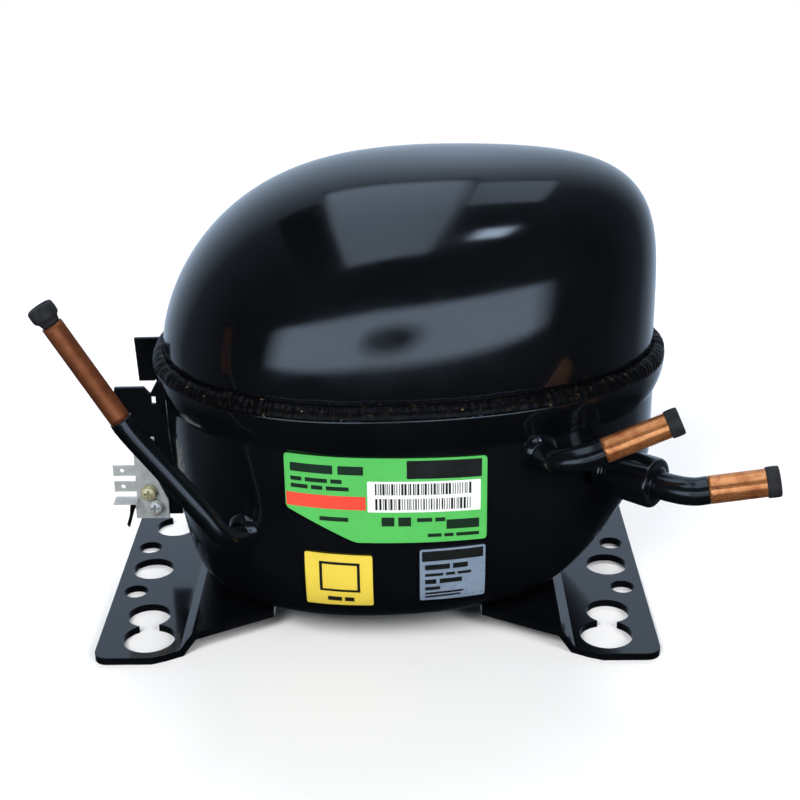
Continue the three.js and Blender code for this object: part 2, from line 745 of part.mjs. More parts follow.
function crankshaft() {
  const counterweight = [];
  for (let i = 0; i <= 12; i += 1) {
    const angle = Math.PI * (0.5 + i / 12);
    counterweight.push([SHAFT_X + 20 * Math.cos(angle), 20 * Math.sin(angle)]);
  }
  const pinSide = [[8, -10], [17, -5], [17, 5], [8, 10]].map(([x, y]) => [SHAFT_X + x, y]);
  const web = [...counterweight, ...pinSide];
  return join(
    post(SHAFT_X, 0, 32, WEB_BOTTOM + 1, SHAFT_R, 20),
    slab(web, WEB_BOTTOM, WEB_TOP - WEB_BOTTOM),
  );
}

function oilPickup() {
  const profile = [[0, 14], [3.2, 14], [6.6, 20], [6.6, 31.6], [0, 31.6]];
  return cut(lathe(profile, 16).translate(SHAFT_X, 0, 0), post(SHAFT_X, 0, 10, 26, 1.8, 8));
}

function crankpin() {
  return post(SHAFT_X + THROW, 0, WEB_TOP + GAP, 134, 5.6, 18);
}

function connectingRod() {
  const low = CYLINDER_Z - 3;
  const high = CYLINDER_Z + 3;
  const big = SHAFT_X + THROW;
  const shank = slab([[big + 5, -4], [WRIST_X - 4, -3], [WRIST_X - 4, 3], [big + 5, 4]], low + 0.5, 5);
  return cut(
    join(post(big, 0, low, high, 8.8, 22), post(WRIST_X, 0, low, high, 5.9, 18), shank),
    post(big, 0, low - 5, high + 5, 6, 18),
    post(WRIST_X, 0, low - 5, high + 5, 3.6, 14),
  );
}

const PISTON_R = 11.7;
const PISTON_BACK = WRIST_X - 8;
const PISTON_CROWN = BLOCK_END - GAP;

function piston() {
  return cut(
    barX(PISTON_BACK, PISTON_CROWN, 0, CYLINDER_Z, PISTON_R, 28),
    barX(PISTON_BACK - 2, WRIST_X + 6.6, 0, CYLINDER_Z, 8, 20),
    post(WRIST_X, 0, CYLINDER_Z - 15, CYLINDER_Z + 15, 3.6, 14),
  );
}

function wristPin() {
  return post(WRIST_X, 0, CYLINDER_Z - 10, CYLINDER_Z + 10, 3.2, 14);
}

// Plate on the stator with the main bearing, and the cylinder block standing on it.
function crankcase() {
  const legs = atCorners((x, y) => post(x, y, STATOR_TOP + GAP, CASE_BOTTOM + 1, 6, 12));
  const threads = atCorners((x, y) => post(x, y, STATOR_TOP, 96, STATOR_BOLT_HOLE, 8));
  const outline = [
    [-33, -32], [-24, -41], [40, -41], [47, -34], [47, 34], [40, 41], [-24, 41], [-33, 32],
  ];
  const plate = slab(outline, CASE_BOTTOM, CASE_TOP - CASE_BOTTOM);
  return cut(
    join(
      plate,
      post(SHAFT_X, 0, 90, WEB_BOTTOM - 0.5, 15, 20),
      block([BLOCK_START, -21, CASE_TOP - 2], [BLOCK_END, 21, CYLINDER_Z + 14]),
      ...legs,
    ),
    post(SHAFT_X, 0, 80, 120, SHAFT_R + 0.4, 20),
    barX(BLOCK_START - 5, BLOCK_END + 5, 0, CYLINDER_Z, CYLINDER_R, 28),
    ...threads,
    ...boltHoles(BLOCK_END - 12, BLOCK_END + 1),
  );
}

// ---------------------------------------------------------------- valves and head

const VALVE_X = BLOCK_END + 0.9;
const VALVE_PLATE = 3;
const HEAD_X = VALVE_X + VALVE_PLATE + 0.9;
const HEAD_END = HEAD_X + 9;

function boltHoles(x0, x1) {
  return HEAD_BOLTS.map(([y, z]) => barX(x0, x1, y, z, HEAD_BOLT_HOLE, 10));
}

function valvePlate() {
  const plate = block([VALVE_X, -20.5, CYLINDER_Z - 17], [VALVE_X + VALVE_PLATE, 20.5, CYLINDER_Z + 13.5]);
  const ports = [-5, 5].map((y) => barX(VALVE_X - 1, VALVE_X + 4, y, CYLINDER_Z, 2.2, 12));
  return cut(plate, ...ports, ...boltHoles(VALVE_X - 1, VALVE_X + 4));
}

// A thin sprung tongue over one port.
function reed(x, y) {
  return block([x, y - 3.2, CYLINDER_Z - 9], [x + 0.25, y + 3.2, CYLINDER_Z + 4]);
}

function cylinderHead() {
  const body = block([HEAD_X, -20.5, CYLINDER_Z - 17], [HEAD_END, 20.5, CYLINDER_Z + 13.5]);
  const rooms = [-1, 1].map((side) => block(
    [HEAD_X - 1, Math.min(side * 1.2, side * 12), CYLINDER_Z - 11],
    [HEAD_END - 3, Math.max(side * 1.2, side * 12), CYLINDER_Z + 10],
  ));
  return cut(body, ...rooms, ...boltHoles(HEAD_X - 1, HEAD_END + 1));
}

function headBolt([y, z]) {
  return join(
    barX(HEAD_END + GAP, HEAD_END + 4, y, z, 4, 6),
    barX(BLOCK_END - 10, HEAD_END + 1, y, z, 2, 10),
  );
}

function muffler(y0, y1) {
  return slab([[50, y0], [64, y0], [67.5, y0 + 3.5], [67.5, y1 - 3.5], [64, y1], [50, y1]], 92, 32);
}

const LOOP_PATH = [
  [62, -30, 91.2], [62.4, -29.6, 86], [72, -20, 79], [82, -8, 75.5], [86, 2, 72.5], [82, 4, 69.5],
  [74, -8, 67.6], [69, -22, 66], [72.2, -34.4, 65.5],
];
const LEAD_PATH = [
  [-60.6, 12, 58], [-55, 12.5, 59.6], [-49, 12, 68], [-46, 10, 78], [-43.5, 8, 86], [-38, 7, 90.5],
  [-33.4, 6.4, 91.5],
];

// ---------------------------------------------------------------- assembly

const compressor = new THREE.Group();

function add(name, geometry, material) {
  const mesh = new THREE.Mesh(geometry, material);
  mesh.name = name;
  compressor.add(mesh);
}

add('lower_shell', lowerShell(), blackPaint);
add('top_cover', topCover(), blackPaint);
add('weld_bead', weldBead(), weldBlack);
add('left_foot', foot(-1), blackPaint);
add('right_foot', foot(1), blackPaint);

add('process_tube_root', tubeRoot(PROCESS_PATH, PROCESS_END, PROCESS, 11), blackPaint);
add('process_tube_stub', stub(PROCESS_PATH, PROCESS_END, PROCESS, 0), copper);
add('process_cap', tubePlug(PROCESS_PATH, PROCESS_END, PROCESS), rubber);
add('suction_tube_root', tubeRoot(SUCTION_PATH, SUCTION_END, SUCTION, 9), blackPaint);
add('suction_tube_stub', stub(SUCTION_PATH, SUCTION_END, SUCTION, CAP_GRIP), copper);
add('suction_cap', tubeCap(SUCTION_PATH, SUCTION_END, SUCTION), rubber);
add('discharge_tube_root', tubeRoot(DISCHARGE_PATH, DISCHARGE_END, DISCHARGE, 6), blackPaint);
add('discharge_tube_stub', stub(DISCHARGE_PATH, DISCHARGE_END, DISCHARGE, CAP_GRIP), copper);
add('discharge_cap', tubeCap(DISCHARGE_PATH, DISCHARGE_END, DISCHARGE), rubber);
add('discharge_barrel', dischargeBarrel(), blackPaint);

const dataTop = edge([-29.8, 81.2], [38.4, 78.9]);
const squareTop = edge([-24.1, 44.5], [-0.8, 43.4]);
const squareBottom = edge([-24.1, 22.3], [-0.8, 22]);
const silverTop = edge([15.4, 45.1], [38.1, 44.8]);
const silverBottom = edge([15.4, 23.6], [38.1, 22.6]);
add('data_label', label(-29.8, 38.4, slantedBottom, dataTop, 9, 1), greenLabel);
add('square_label', label(-24.1, -0.8, squareBottom, squareTop, 4, 3), yellowLabel);
add('silver_label', label(15.4, 38.1, silverBottom, silverTop, 4, 3), silverLabel);

add('hermetic_terminal', terminal(), zinc);
add('terminal_fence', terminalFence(), blackPaint);
add('earth_bracket', earthBracket(), zinc);
add('upper_earth_screw', panHeadScrew(EARTH_SCREWS[0]), yellowZinc);
add('lower_earth_screw', panHeadScrew(EARTH_SCREWS[1]), zinc);

atCorners((x, y, i) => {
  add(`spring_seat_${i + 1}`, springSeat(x, y), machined);
  add(`suspension_spring_${i + 1}`, suspensionSpring(x, y), springSteel);
  add(`stator_bolt_${i + 1}`, statorBolt(x, y), machined);
});

add('stator_core', statorCore(), laminations);
add('lower_winding', winding(26, STATOR_BOTTOM - GAP), enamelWire);
add('upper_winding', winding(STATOR_TOP + GAP, CASE_BOTTOM - 0.5), enamelWire);
add('crankcase', crankcase(), castIron);
add('valve_plate', valvePlate(), machined);
add('suction_reed', reed(BLOCK_END + 0.3, -5), springSteel);
add('discharge_reed', reed(VALVE_X + VALVE_PLATE + 0.3, 5), springSteel);
add('cylinder_head', cylinderHead(), castIron);
HEAD_BOLTS.forEach((place, i) => {
  add(`head_bolt_${i + 1}`, headBolt(place), machined);
});
add('suction_muffler', muffler(23, 38.5), whitePlastic);
add('discharge_muffler', muffler(-38.5, -23), castIron);
add('discharge_loop', pipe(LOOP_PATH, LOOP_R, 0, 20, 8), machined);
add('motor_leads', pipe(LEAD_PATH, LEADS_R, 0, 16, 8), leadSleeve);
add('lead_plug', block([-65.6, 4, 50], [-61.4, 20, 66]), whitePlastic);

add('crankshaft', crankshaft(), machined);
add('rotor_core', rotorCore(), aluminium);
add('oil_pickup', oilPickup(), machined);
add('piston', piston(), machined);
add('wrist_pin', wristPin(), machined);
add('connecting_rod', connectingRod(), aluminium);
add('crankpin', crankpin(), machined);

// The row frame has its origin at the bottom centre of the whole compressor's box.
const box = new THREE.Box3().setFromObject(compressor);
compressor.position.set(-(box.min.x + box.max.x) / 2, -(box.min.y + box.max.y) / 2, -box.min.z);

export default compressor;
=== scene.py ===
"""Looks of a hermetic reciprocating compressor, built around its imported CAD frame."""

import json
import math
import random
from collections import namedtuple

import bmesh
import bpy
from mathutils import Matrix, Vector


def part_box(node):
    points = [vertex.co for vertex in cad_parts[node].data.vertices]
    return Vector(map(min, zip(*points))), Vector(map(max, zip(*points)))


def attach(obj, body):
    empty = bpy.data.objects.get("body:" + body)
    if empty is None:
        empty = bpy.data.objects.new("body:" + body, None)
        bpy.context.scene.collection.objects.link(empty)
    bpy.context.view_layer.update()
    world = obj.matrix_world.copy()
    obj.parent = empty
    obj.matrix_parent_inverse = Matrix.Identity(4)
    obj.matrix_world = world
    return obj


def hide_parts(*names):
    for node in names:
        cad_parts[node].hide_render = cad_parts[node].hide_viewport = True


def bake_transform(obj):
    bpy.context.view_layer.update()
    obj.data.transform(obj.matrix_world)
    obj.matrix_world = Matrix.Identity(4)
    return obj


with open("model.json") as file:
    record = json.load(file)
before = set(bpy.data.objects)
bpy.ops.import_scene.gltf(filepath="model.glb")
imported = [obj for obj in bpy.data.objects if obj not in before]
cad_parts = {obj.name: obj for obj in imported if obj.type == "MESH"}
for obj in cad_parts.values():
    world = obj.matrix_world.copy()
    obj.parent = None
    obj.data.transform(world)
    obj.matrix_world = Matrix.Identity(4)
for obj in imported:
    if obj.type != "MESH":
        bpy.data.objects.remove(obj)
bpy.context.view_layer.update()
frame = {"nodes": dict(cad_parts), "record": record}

MM = 0.001

# ---------------------------------------- the design frame
# Drawings are in millimetres from the centre of the mounting-hole pattern, on the ground.
# The feet are symmetric about it, so their boxes give its place in the row frame.

LEFT_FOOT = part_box("left_foot")
RIGHT_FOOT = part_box("right_foot")
ORIGIN = Vector((
    (LEFT_FOOT[0].x + RIGHT_FOOT[1].x) / 2,
    (LEFT_FOOT[0].y + LEFT_FOOT[1].y) / 2,
    LEFT_FOOT[0].z,
))


def at(x, y, z):
    """A drawing point in the row frame, in metres."""
    return ORIGIN + Vector((x, y, z)) * MM


# ---------------------------------------- driving dimensions, mm

EGG_X = -3
RIM_LEFT, RIM_RIGHT, RIM_DEPTH = 78.2, 108.7, 67.7
PLAN_POWER = 2.1
WALL = 3
SHELL_BOTTOM = 8.4
LEFT_CURVE = (90, 14.6, 2.06)      # top, inset and power of the bottom corner on each side
RIGHT_CURVE = (57.6, 31.9, 1.2)
FRONT_CURVE = (36, 24.5, 2)
FLAT_NORMAL = Vector((0.52, 0.74, -0.42)).normalized()
LEFT_FLAT = 47.6                   # distance of the pressed flats above the feet
RIGHT_FLAT = 51.5
WALL_INSET = 3.5
FLARE_START = 82
RIM_TOP = 95
SKIRT_BOTTOM = 88.6
SKIRT_TOP = 92.5
SKIRT_INSET = 4.1
DOME_PLAN = (74, 104.3, 62.4)
DOME_START = 100
DOME_TOP = 167.8
APEX_X = 28
DOME_LEFT = (1.66, 2.84)
DOME_RIGHT = (4.95, 3.62)
DOME_DEPTH = (2.4, 2.4)

SHEET = 2.8
FOOT_OUTER = 100.6
FOOT_DEPTH = 63.8
FOOT_STEP_OUTER = 70
FOOT_STEP_INNER = 65.6
FOOT_RAISE = 5.3
FOOT_INNER = 38
FOOT_CORNER = 5
# The slanted edge from under the shell out to the full-width plate, then the holes as x, y, radius.
FOOT_SPLAY = ((FOOT_INNER, 41), (67, 57.3), (70.5, 59.2), (75, 61.8), (80, FOOT_DEPTH))
FOOT_HOLES = ((82.55, 50.8, 9.5), (85, 35, 8), (92.83, 17.4, 4.5), (88.86, 0, 8))

# Radii of each tube: copper stub, bore, painted steel root, and rubber cap.
Tube = namedtuple("Tube", "stub bore root cap")
PROCESS = Tube(3.6, 2.8, 3.95, 4.6)
SUCTION = Tube(4.25, 3.4, 4.5, 4.8)
DISCHARGE = Tube(4.8, 3.9, 4.8, 5.35)
CAP_GRIP = 3
CAP_LENGTH = 4.6
PLUG_DEPTH = 4
PLUG_LENGTH = 7.2
TUBE_INSIDE = 6.2                  # how far the process and suction tubes reach into the shell

PROCESS_PATH = (
    (-42.6, -48.1, 47.8), (-48.3, -58.2, 47.6), (-52, -62.2, 50.8), (-57.2, -63.2, 58.9),
    (-68.4, -63, 74.2), (-82.9, -62.5, 94.2),
)
PROCESS_END = (-102.25, -62, 127.6)
SUCTION_PATH = (
    (54.5, -48.2, 77), (58.7, -58.9, 77), (61.3, -64, 78), (66.5, -66.8, 79.9), (76.4, -67.2, 83.3),
)
SUCTION_END = (96.8, -67, 92.1)
DISCHARGE_START = (79.2, -41.7, 65.5)
DISCHARGE_BARREL_END = (96.5, -56.1, 65.5)
DISCHARGE_PATH = ((97, -56.5, 65.5), (100.2, -59.2, 65.5), (105, -61.9, 65.6), (112.7, -63, 66.4))
DISCHARGE_END = (131.3, -65, 69.9)

# ---------------------------------------- node helpers


class Shader:
    """One procedural material, with short calls for the nodes it is built from."""

    def __init__(self, name, **sockets):
        self.material = bpy.data.materials.new(name)
        self.material.use_nodes = True
        self.nodes = self.material.node_tree.nodes
        self.links = self.material.node_tree.links
        self.surface = self.nodes["Principled BSDF"]
        for socket, value in sockets.items():
            self.set(socket.replace("_", " "), value)
        self.place = self.nodes.new("ShaderNodeTexCoord").outputs["Object"]

    def set(self, socket, value):
        target = self.surface.inputs[socket]
        if isinstance(value, bpy.types.NodeSocket):
            self.links.new(value, target)
        elif hasattr(value, "__len__") and len(value) == 3:
            target.default_value = (*value, 1)
        else:
            target.default_value = value

    def stretched(self, scale, turn=(0, 0, 0)):
        """Object coordinates, turned and then stretched, for grain that runs along one axis."""
        rotate = self.nodes.new("ShaderNodeMapping")
        rotate.inputs["Rotation"].default_value = turn
        self.links.new(self.place, rotate.inputs["Vector"])
        grow = self.nodes.new("ShaderNodeMapping")
        grow.inputs["Scale"].default_value = scale
        self.links.new(rotate.outputs[0], grow.inputs["Vector"])
        return grow.outputs[0]

    def noise(self, scale, detail=3, rough=0.5, where=None):
        node = self.nodes.new("ShaderNodeTexNoise")
        node.inputs["Scale"].default_value = scale
        node.inputs["Detail"].default_value = detail
        node.inputs["Roughness"].default_value = rough
        self.links.new(where or self.place, node.inputs["Vector"])
        return node.outputs["Fac"]

    def ramp(self, factor, *stops):
        """Maps a factor to colours or grey levels at the given positions."""
        node = self.nodes.new("ShaderNodeValToRGB")
        elements = node.color_ramp.elements
        while len(elements) < len(stops):
            elements.new(0.5)
        for element, (position, value) in zip(elements, stops):
            element.position = position
            colour = value if hasattr(value, "__len__") else (value, value, value)
            element.color = (*colour, 1)
        self.links.new(factor, node.inputs["Fac"])
        return node.outputs["Color"]

    def product(self, a, b):
        node = self.nodes.new("ShaderNodeMath")
        node.operation = "MULTIPLY"
        self.links.new(a, node.inputs[0])
        self.links.new(b, node.inputs[1])
        return node.outputs[0]

    def bump(self, *layers):
        """Stacks (height, strength, distance in mm) layers on the normal."""
        last = None
        for height, strength, distance in layers:
            node = self.nodes.new("ShaderNodeBump")
            node.inputs["Strength"].default_value = strength
            node.inputs["Distance"].default_value = distance * MM
            self.links.new(height, node.inputs["Height"])
            if last:
                self.links.new(last, node.inputs["Normal"])
            last = node.outputs["Normal"]
        self.set("Normal", last)
        return self


# ---------------------------------------- materials


def black_enamel(name, roughness=0.13, peel=0.10, coat=0.5):
    """Baked gloss enamel: nearly black, slightly blue, with a faint orange peel and fine haze."""
    s = Shader(name, Specular_IOR_Level=0.5, Coat_Weight=coat, Coat_Roughness=0.05, Coat_IOR=1.5)
    tint = s.ramp(s.noise(38, 4), (0.35, (0.0018, 0.0022, 0.003)), (0.7, (0.003, 0.0036, 0.0048)))
    s.set("Base Color", tint)
    haze = s.ramp(s.noise(90, 5, 0.6), (0.3, roughness - 0.03), (0.75, roughness + 0.06))
    s.set("Roughness", haze)
    s.bump((s.noise(420, 2), peel, 0.03), (s.noise(60, 2), peel * 0.7, 0.12))
    return s.material


def burnt_weld():
    """A weld run under thin black paint, with brown and brass-coloured flecks where it shows."""
    s = Shader("burnt_weld", Specular_IOR_Level=0.1)
    fleck = s.noise(520, 4, 0.7)
    black, brown, brass = (0.002, 0.002, 0.0025), (0.018, 0.011, 0.006), (0.34, 0.25, 0.14)
    s.set("Base Color", s.ramp(fleck, (0.57, black), (0.66, brown), (0.73, brass)))
    s.set("Roughness", s.ramp(s.noise(240, 4), (0.3, 0.16), (0.7, 0.4)))
    s.bump((s.noise(900, 5, 0.7), 0.35, 0.2), (s.noise(260, 3), 0.3, 0.4))
    return s.material


def copper_tube(name, direction, dark, pale, roughness):
    """Drawn copper: bright streaks along the tube, tarnished a little brown and red."""
    s = Shader(name, Metallic=0.85, Anisotropic=0.4)
    turn = Vector(direction).rotation_difference(Vector((0, 0, 1))).to_euler()
    along = s.stretched((1, 1, 0.05), turn)
    streak = s.noise(1500, 3, 0.6, along)
    s.set("Base Color", s.ramp(s.noise(130, 4, 0.65), (0.32, dark), (0.55, pale), (0.75, dark)))
    s.set("Roughness", s.ramp(streak, (0.25, roughness - 0.1), (0.75, roughness + 0.1)))
    s.bump((streak, 0.25, 0.03), (s.noise(500, 3), 0.12, 0.04))
    return s.material


def moulded_rubber():
    s = Shader("black_rubber", Specular_IOR_Level=0.35)
    s.set("Base Color", s.ramp(s.noise(300, 4), (0.3, (0.010, 0.010, 0.011)), (0.75, (0.022, 0.022, 0.023))))
    s.set("Roughness", s.ramp(s.noise(500, 3), (0.3, 0.55), (0.7, 0.75)))
    s.bump((s.noise(1800, 3), 0.3, 0.04))
    return s.material


def plated_sheet(name, low, high, roughness=0.35):
    """Zinc plate: pale, slightly cloudy, with rolled grain."""
    s = Shader(name, Metallic=0.5)
    s.set("Base Color", s.ramp(s.noise(220, 5, 0.65), (0.3, low), (0.7, high)))
    grain = s.noise(900, 4, 0.6, s.stretched((0.12, 1, 1)))
    s.set("Roughness", s.ramp(grain, (0.25, roughness - 0.08), (0.75, roughness + 0.14)))
    s.bump((grain, 0.2, 0.03), (s.noise(350, 3), 0.15, 0.05))
    return s.material


def sticker_film(name, low, high, roughness=0.34):
    """Printed film: even colour with a faint mottle, satin and slightly wavy."""
    s = Shader(name, Specular_IOR_Level=0.5, Coat_Weight=0.25, Coat_Roughness=0.25)
    s.set("Base Color", s.ramp(s.noise(70, 4), (0.3, low), (0.7, high)))
    s.set("Roughness", s.ramp(s.noise(300, 3), (0.3, roughness - 0.04), (0.7, roughness + 0.06)))
    s.bump((s.noise(240, 2), 0.12, 0.05), (s.noise(1400, 2), 0.08, 0.01))
    return s.material


def metal(name, low, high, roughness, grain_scale=700):
    """Machined or rolled steel and alloys, with fine grain."""
    s = Shader(name, Metallic=1.0)
    s.set("Base Color", s.ramp(s.noise(160, 4), (0.3, low), (0.7, high)))
    grain = s.noise(grain_scale, 4, 0.6)
    s.set("Roughness", s.ramp(grain, (0.3, roughness - 0.07), (0.7, roughness + 0.1)))
    s.bump((grain, 0.2, 0.05))
    return s.material


def laminated(name):
    """A stack of sheets half a millimetre thick, seen from its side."""
    s = Shader(name, Metallic=0.9)
    wave = s.nodes.new("ShaderNodeTexWave")
    wave.bands_direction = "Z"
    wave.inputs["Scale"].default_value = 320
    wave.inputs["Distortion"].default_value = 0.3
    s.links.new(s.place, wave.inputs["Vector"])
    s.set("Base Color", s.ramp(wave.outputs["Fac"], (0.2, (0.07, 0.072, 0.076)), (0.8, (0.2, 0.205, 0.21))))
    s.set("Roughness", s.ramp(s.noise(300, 3), (0.3, 0.4), (0.7, 0.6)))
    s.bump((wave.outputs["Fac"], 0.4, 0.1))
    return s.material


def wound_wire():
    """Enamelled copper wire laid round and round."""
    s = Shader("enamel_wire", Metallic=0.6, Coat_Weight=0.5, Coat_Roughness=0.2)
    wave = s.nodes.new("ShaderNodeTexWave")
    wave.bands_direction = "Z"
    wave.inputs["Scale"].default_value = 220
    wave.inputs["Distortion"].default_value = 2.5
    s.links.new(s.place, wave.inputs["Vector"])
    s.set("Base Color", s.ramp(wave.outputs["Fac"], (0.15, (0.09, 0.02, 0.008)), (0.7, (0.42, 0.13, 0.04))))
    s.set("Roughness", s.ramp(s.noise(400, 3), (0.3, 0.3), (0.7, 0.5)))
    s.bump((wave.outputs["Fac"], 0.8, 0.4))
    return s.material


def plastic(name, low, high, roughness=0.45):
    s = Shader(name)
    s.set("Base Color", s.ramp(s.noise(60, 3), (0.3, low), (0.7, high)))
    s.set("Roughness", s.ramp(s.noise(500, 3), (0.3, roughness - 0.05), (0.7, roughness + 0.1)))
    s.bump((s.noise(900, 2), 0.15, 0.05))
    return s.material


def woven_sleeve():
    s = Shader("lead_sleeve", Sheen_Weight=0.3)
    weave = s.noise(2200, 2, 0.5)
    s.set("Base Color", s.ramp(weave, (0.35, (0.45, 0.41, 0.32)), (0.65, (0.78, 0.74, 0.63))))
    s.set("Roughness", s.ramp(weave, (0.3, 0.6), (0.7, 0.8)))
    s.bump((weave, 0.6, 0.2))
    return s.material


MATERIALS = {
    "black_paint": black_enamel("black_enamel"),
    "burnt_weld": burnt_weld(),
    "black_rubber": moulded_rubber(),
    "zinc": plated_sheet("zinc", (0.50, 0.51, 0.49), (0.70, 0.71, 0.68)),
    "yellow_zinc": plated_sheet("yellow_zinc", (0.40, 0.36, 0.17), (0.74, 0.70, 0.46)),
    "green_label": sticker_film("green_film", (0.068, 0.44, 0.078), (0.080, 0.49, 0.092)),
    "yellow_label": sticker_film("yellow_film", (0.70, 0.53, 0.045), (0.77, 0.585, 0.055)),
    "silver_label": sticker_film("silver_film", (0.16, 0.21, 0.29), (0.21, 0.28, 0.37), 0.28),
    "spring_steel": metal("spring_steel", (0.2, 0.21, 0.22), (0.36, 0.37, 0.39), 0.3),
    "cast_iron": metal("cast_iron", (0.05, 0.05, 0.052), (0.12, 0.12, 0.122), 0.55, 300),
    "machined_steel": metal("machined_steel", (0.36, 0.37, 0.39), (0.5, 0.51, 0.52), 0.25),
    "laminations": laminated("laminations"),
    "rotor": metal("rotor", (0.3, 0.305, 0.31), (0.5, 0.505, 0.51), 0.35),
    "enamel_wire": wound_wire(),
    "rod_alloy": metal("rod_alloy", (0.45, 0.455, 0.46), (0.62, 0.625, 0.63), 0.38),
    "white_plastic": plastic("white_plastic", (0.70, 0.68, 0.60), (0.8, 0.78, 0.71)),
    "lead_sleeve": woven_sleeve(),
}


def tube_direction(path, end):
    return Vector(end) - Vector(path[-1])


TUBE_ENAMEL = black_enamel("tube_enamel", roughness=0.2, coat=0.25)

# Dark and pale colour, and roughness.
# The process tube's copper is given darker colours and more roughness than the other two tubes.
DARKER_COPPER = ((0.26, 0.075, 0.028), (0.38, 0.125, 0.05), 0.52)
BRIGHT = ((0.50, 0.13, 0.042), (0.90, 0.36, 0.13), 0.29)
COPPER = {
    "process": copper_tube("process_copper", tube_direction(PROCESS_PATH, PROCESS_END), *DARKER_COPPER),
    "suction": copper_tube("suction_copper", tube_direction(SUCTION_PATH, SUCTION_END), *BRIGHT),
    "discharge": copper_tube("discharge_copper", tube_direction(DISCHARGE_PATH, DISCHARGE_END), *BRIGHT),
}

# Every carried-over node takes the material of its slot in the record.
for part in frame["record"]["subparts"]:
    node = frame["nodes"][part["node"]]
    slot_name = part["material_slot"]
    node.data.materials.clear()
    node.data.materials.append(MATERIALS.get(slot_name) or COPPER["process"])

# ---------------------------------------- mesh helpers


def in_scene(name, data):
    """A new object in the scene."""
    new = bpy.data.objects.new(name, data)
    bpy.context.scene.collection.objects.link(new)
    return new


def new_mesh(name, points, faces, smooth=True):
    """An object from drawing points in millimetres."""
    mesh = bpy.data.meshes.new(name)
    mesh.from_pydata([at(*point) for point in points], [], faces)
    mesh.validate()
    if smooth:
        mesh.shade_smooth()
    return in_scene(name, mesh)


def finish_piece(piece, slot_name, body="shell", replaces=(), material=None):
    """Gives a piece its material and its body, and hides the nodes that it stands for. Print has no slot."""
    piece.data.materials.clear()
    piece.data.materials.append(material or MATERIALS[slot_name])
    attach(piece, body)
    if replaces:
        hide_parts(*replaces)
    return piece


def apply_modifiers(piece):
    depsgraph = bpy.context.evaluated_depsgraph_get()
    mesh = bpy.data.meshes.new_from_object(piece.evaluated_get(depsgraph))
    piece.modifiers.clear()
    piece.data = mesh
    return piece


def outward(piece):
    """Makes every face point out of the solid."""
    bm = bmesh.new()
    bm.from_mesh(piece.data)
    bmesh.ops.remove_doubles(bm, verts=bm.verts, dist=1e-7)
    bmesh.ops.recalc_face_normals(bm, faces=bm.faces)
    bm.to_mesh(piece.data)
    bm.free()
    return piece


def rounded_edges(piece, width, segments=3, angle=35):
    """Rounds the sharp edges and shades the result smooth, flat faces staying flat."""
    bevel = piece.modifiers.new("bevel", "BEVEL")
    bevel.width = width * MM
    bevel.segments = segments
    bevel.limit_method = "ANGLE"
    bevel.angle_limit = math.radians(angle)
    bevel.harden_normals = False
    bevel.use_clamp_overlap = True
    apply_modifiers(piece)
    piece.data.shade_smooth()
    weighted = piece.modifiers.new("weighted", "WEIGHTED_NORMAL")
    weighted.keep_sharp = True
    return apply_modifiers(piece)


def flat_merged(piece, degrees=0.5):
    """Joins the triangles of each flat side into one face."""
    bm = bmesh.new()
    bm.from_mesh(piece.data)
    bmesh.ops.remove_doubles(bm, verts=bm.verts, dist=1e-7)
    bmesh.ops.dissolve_limit(
        bm, angle_limit=math.radians(degrees), verts=bm.verts, edges=bm.edges, use_dissolve_boundaries=False,
    )
    bm.to_mesh(piece.data)
    bm.free()
    return piece


def boolean(piece, other, operation):
    modifier = piece.modifiers.new("boolean", "BOOLEAN")
    modifier.operation = operation
    modifier.solver = "EXACT"
    modifier.object = other
    apply_modifiers(piece)
    bpy.data.objects.remove(other)
    return piece


def prism(name, outline, low, high, axis="z"):
    """An outline extruded along z, or an x-z outline extruded along y."""
    count = len(outline)
    points = []
    for level in (low, high):
        for a, b in outline:
            points.append((a, b, level) if axis == "z" else (a, level, b))
    faces = [tuple(range(count)), tuple(range(count, 2 * count))]
    for i in range(count):
        j = (i + 1) % count
        faces.append((i, j, count + j, count + i))
    return outward(new_mesh(name, points, faces, smooth=False))


def circle(x, y, r, count=64):
    angles = [2 * math.pi * i / count for i in range(count)]
    return [(x + r * math.cos(angle), y + r * math.sin(angle)) for angle in angles]


def lathe(name, profile, start, axis, count=48):
    """Turns an (r, distance) profile about an axis through start.

    The profile closes on itself, or on the axis where it starts and ends there.
    """
    turn = Vector((0, 0, 1)).rotation_difference(Vector(axis).normalized()).to_matrix()
    points, rings = [], []
    for r, height in profile:
        ring = []
        for i in range(count if r > 1e-6 else 1):
            angle = 2 * math.pi * i / count
            spot = turn @ Vector((r * math.cos(angle), r * math.sin(angle), height)) + Vector(start)
            ring.append(len(points))
            points.append(tuple(spot))
        rings.append(ring)
    return outward(new_mesh(name, points, bridge(rings, profile[0][0] > 1e-6)))


def bridge(rings, closed):
    """Faces between neighbouring rings. A ring of one point makes a fan."""
    faces = []
    pairs = list(zip(rings, rings[1:] + rings[:1]))
    for low, high in pairs if closed else pairs[:-1]:
        count = max(len(low), len(high))
        for i in range(count):
            j = (i + 1) % count
            if len(low) == 1:
                faces.append((low[0], high[j], high[i]))
            elif len(high) == 1:
                faces.append((low[i], low[j], high[0]))
            else:
                faces.append((low[i], low[j], high[j], high[i]))
    return faces


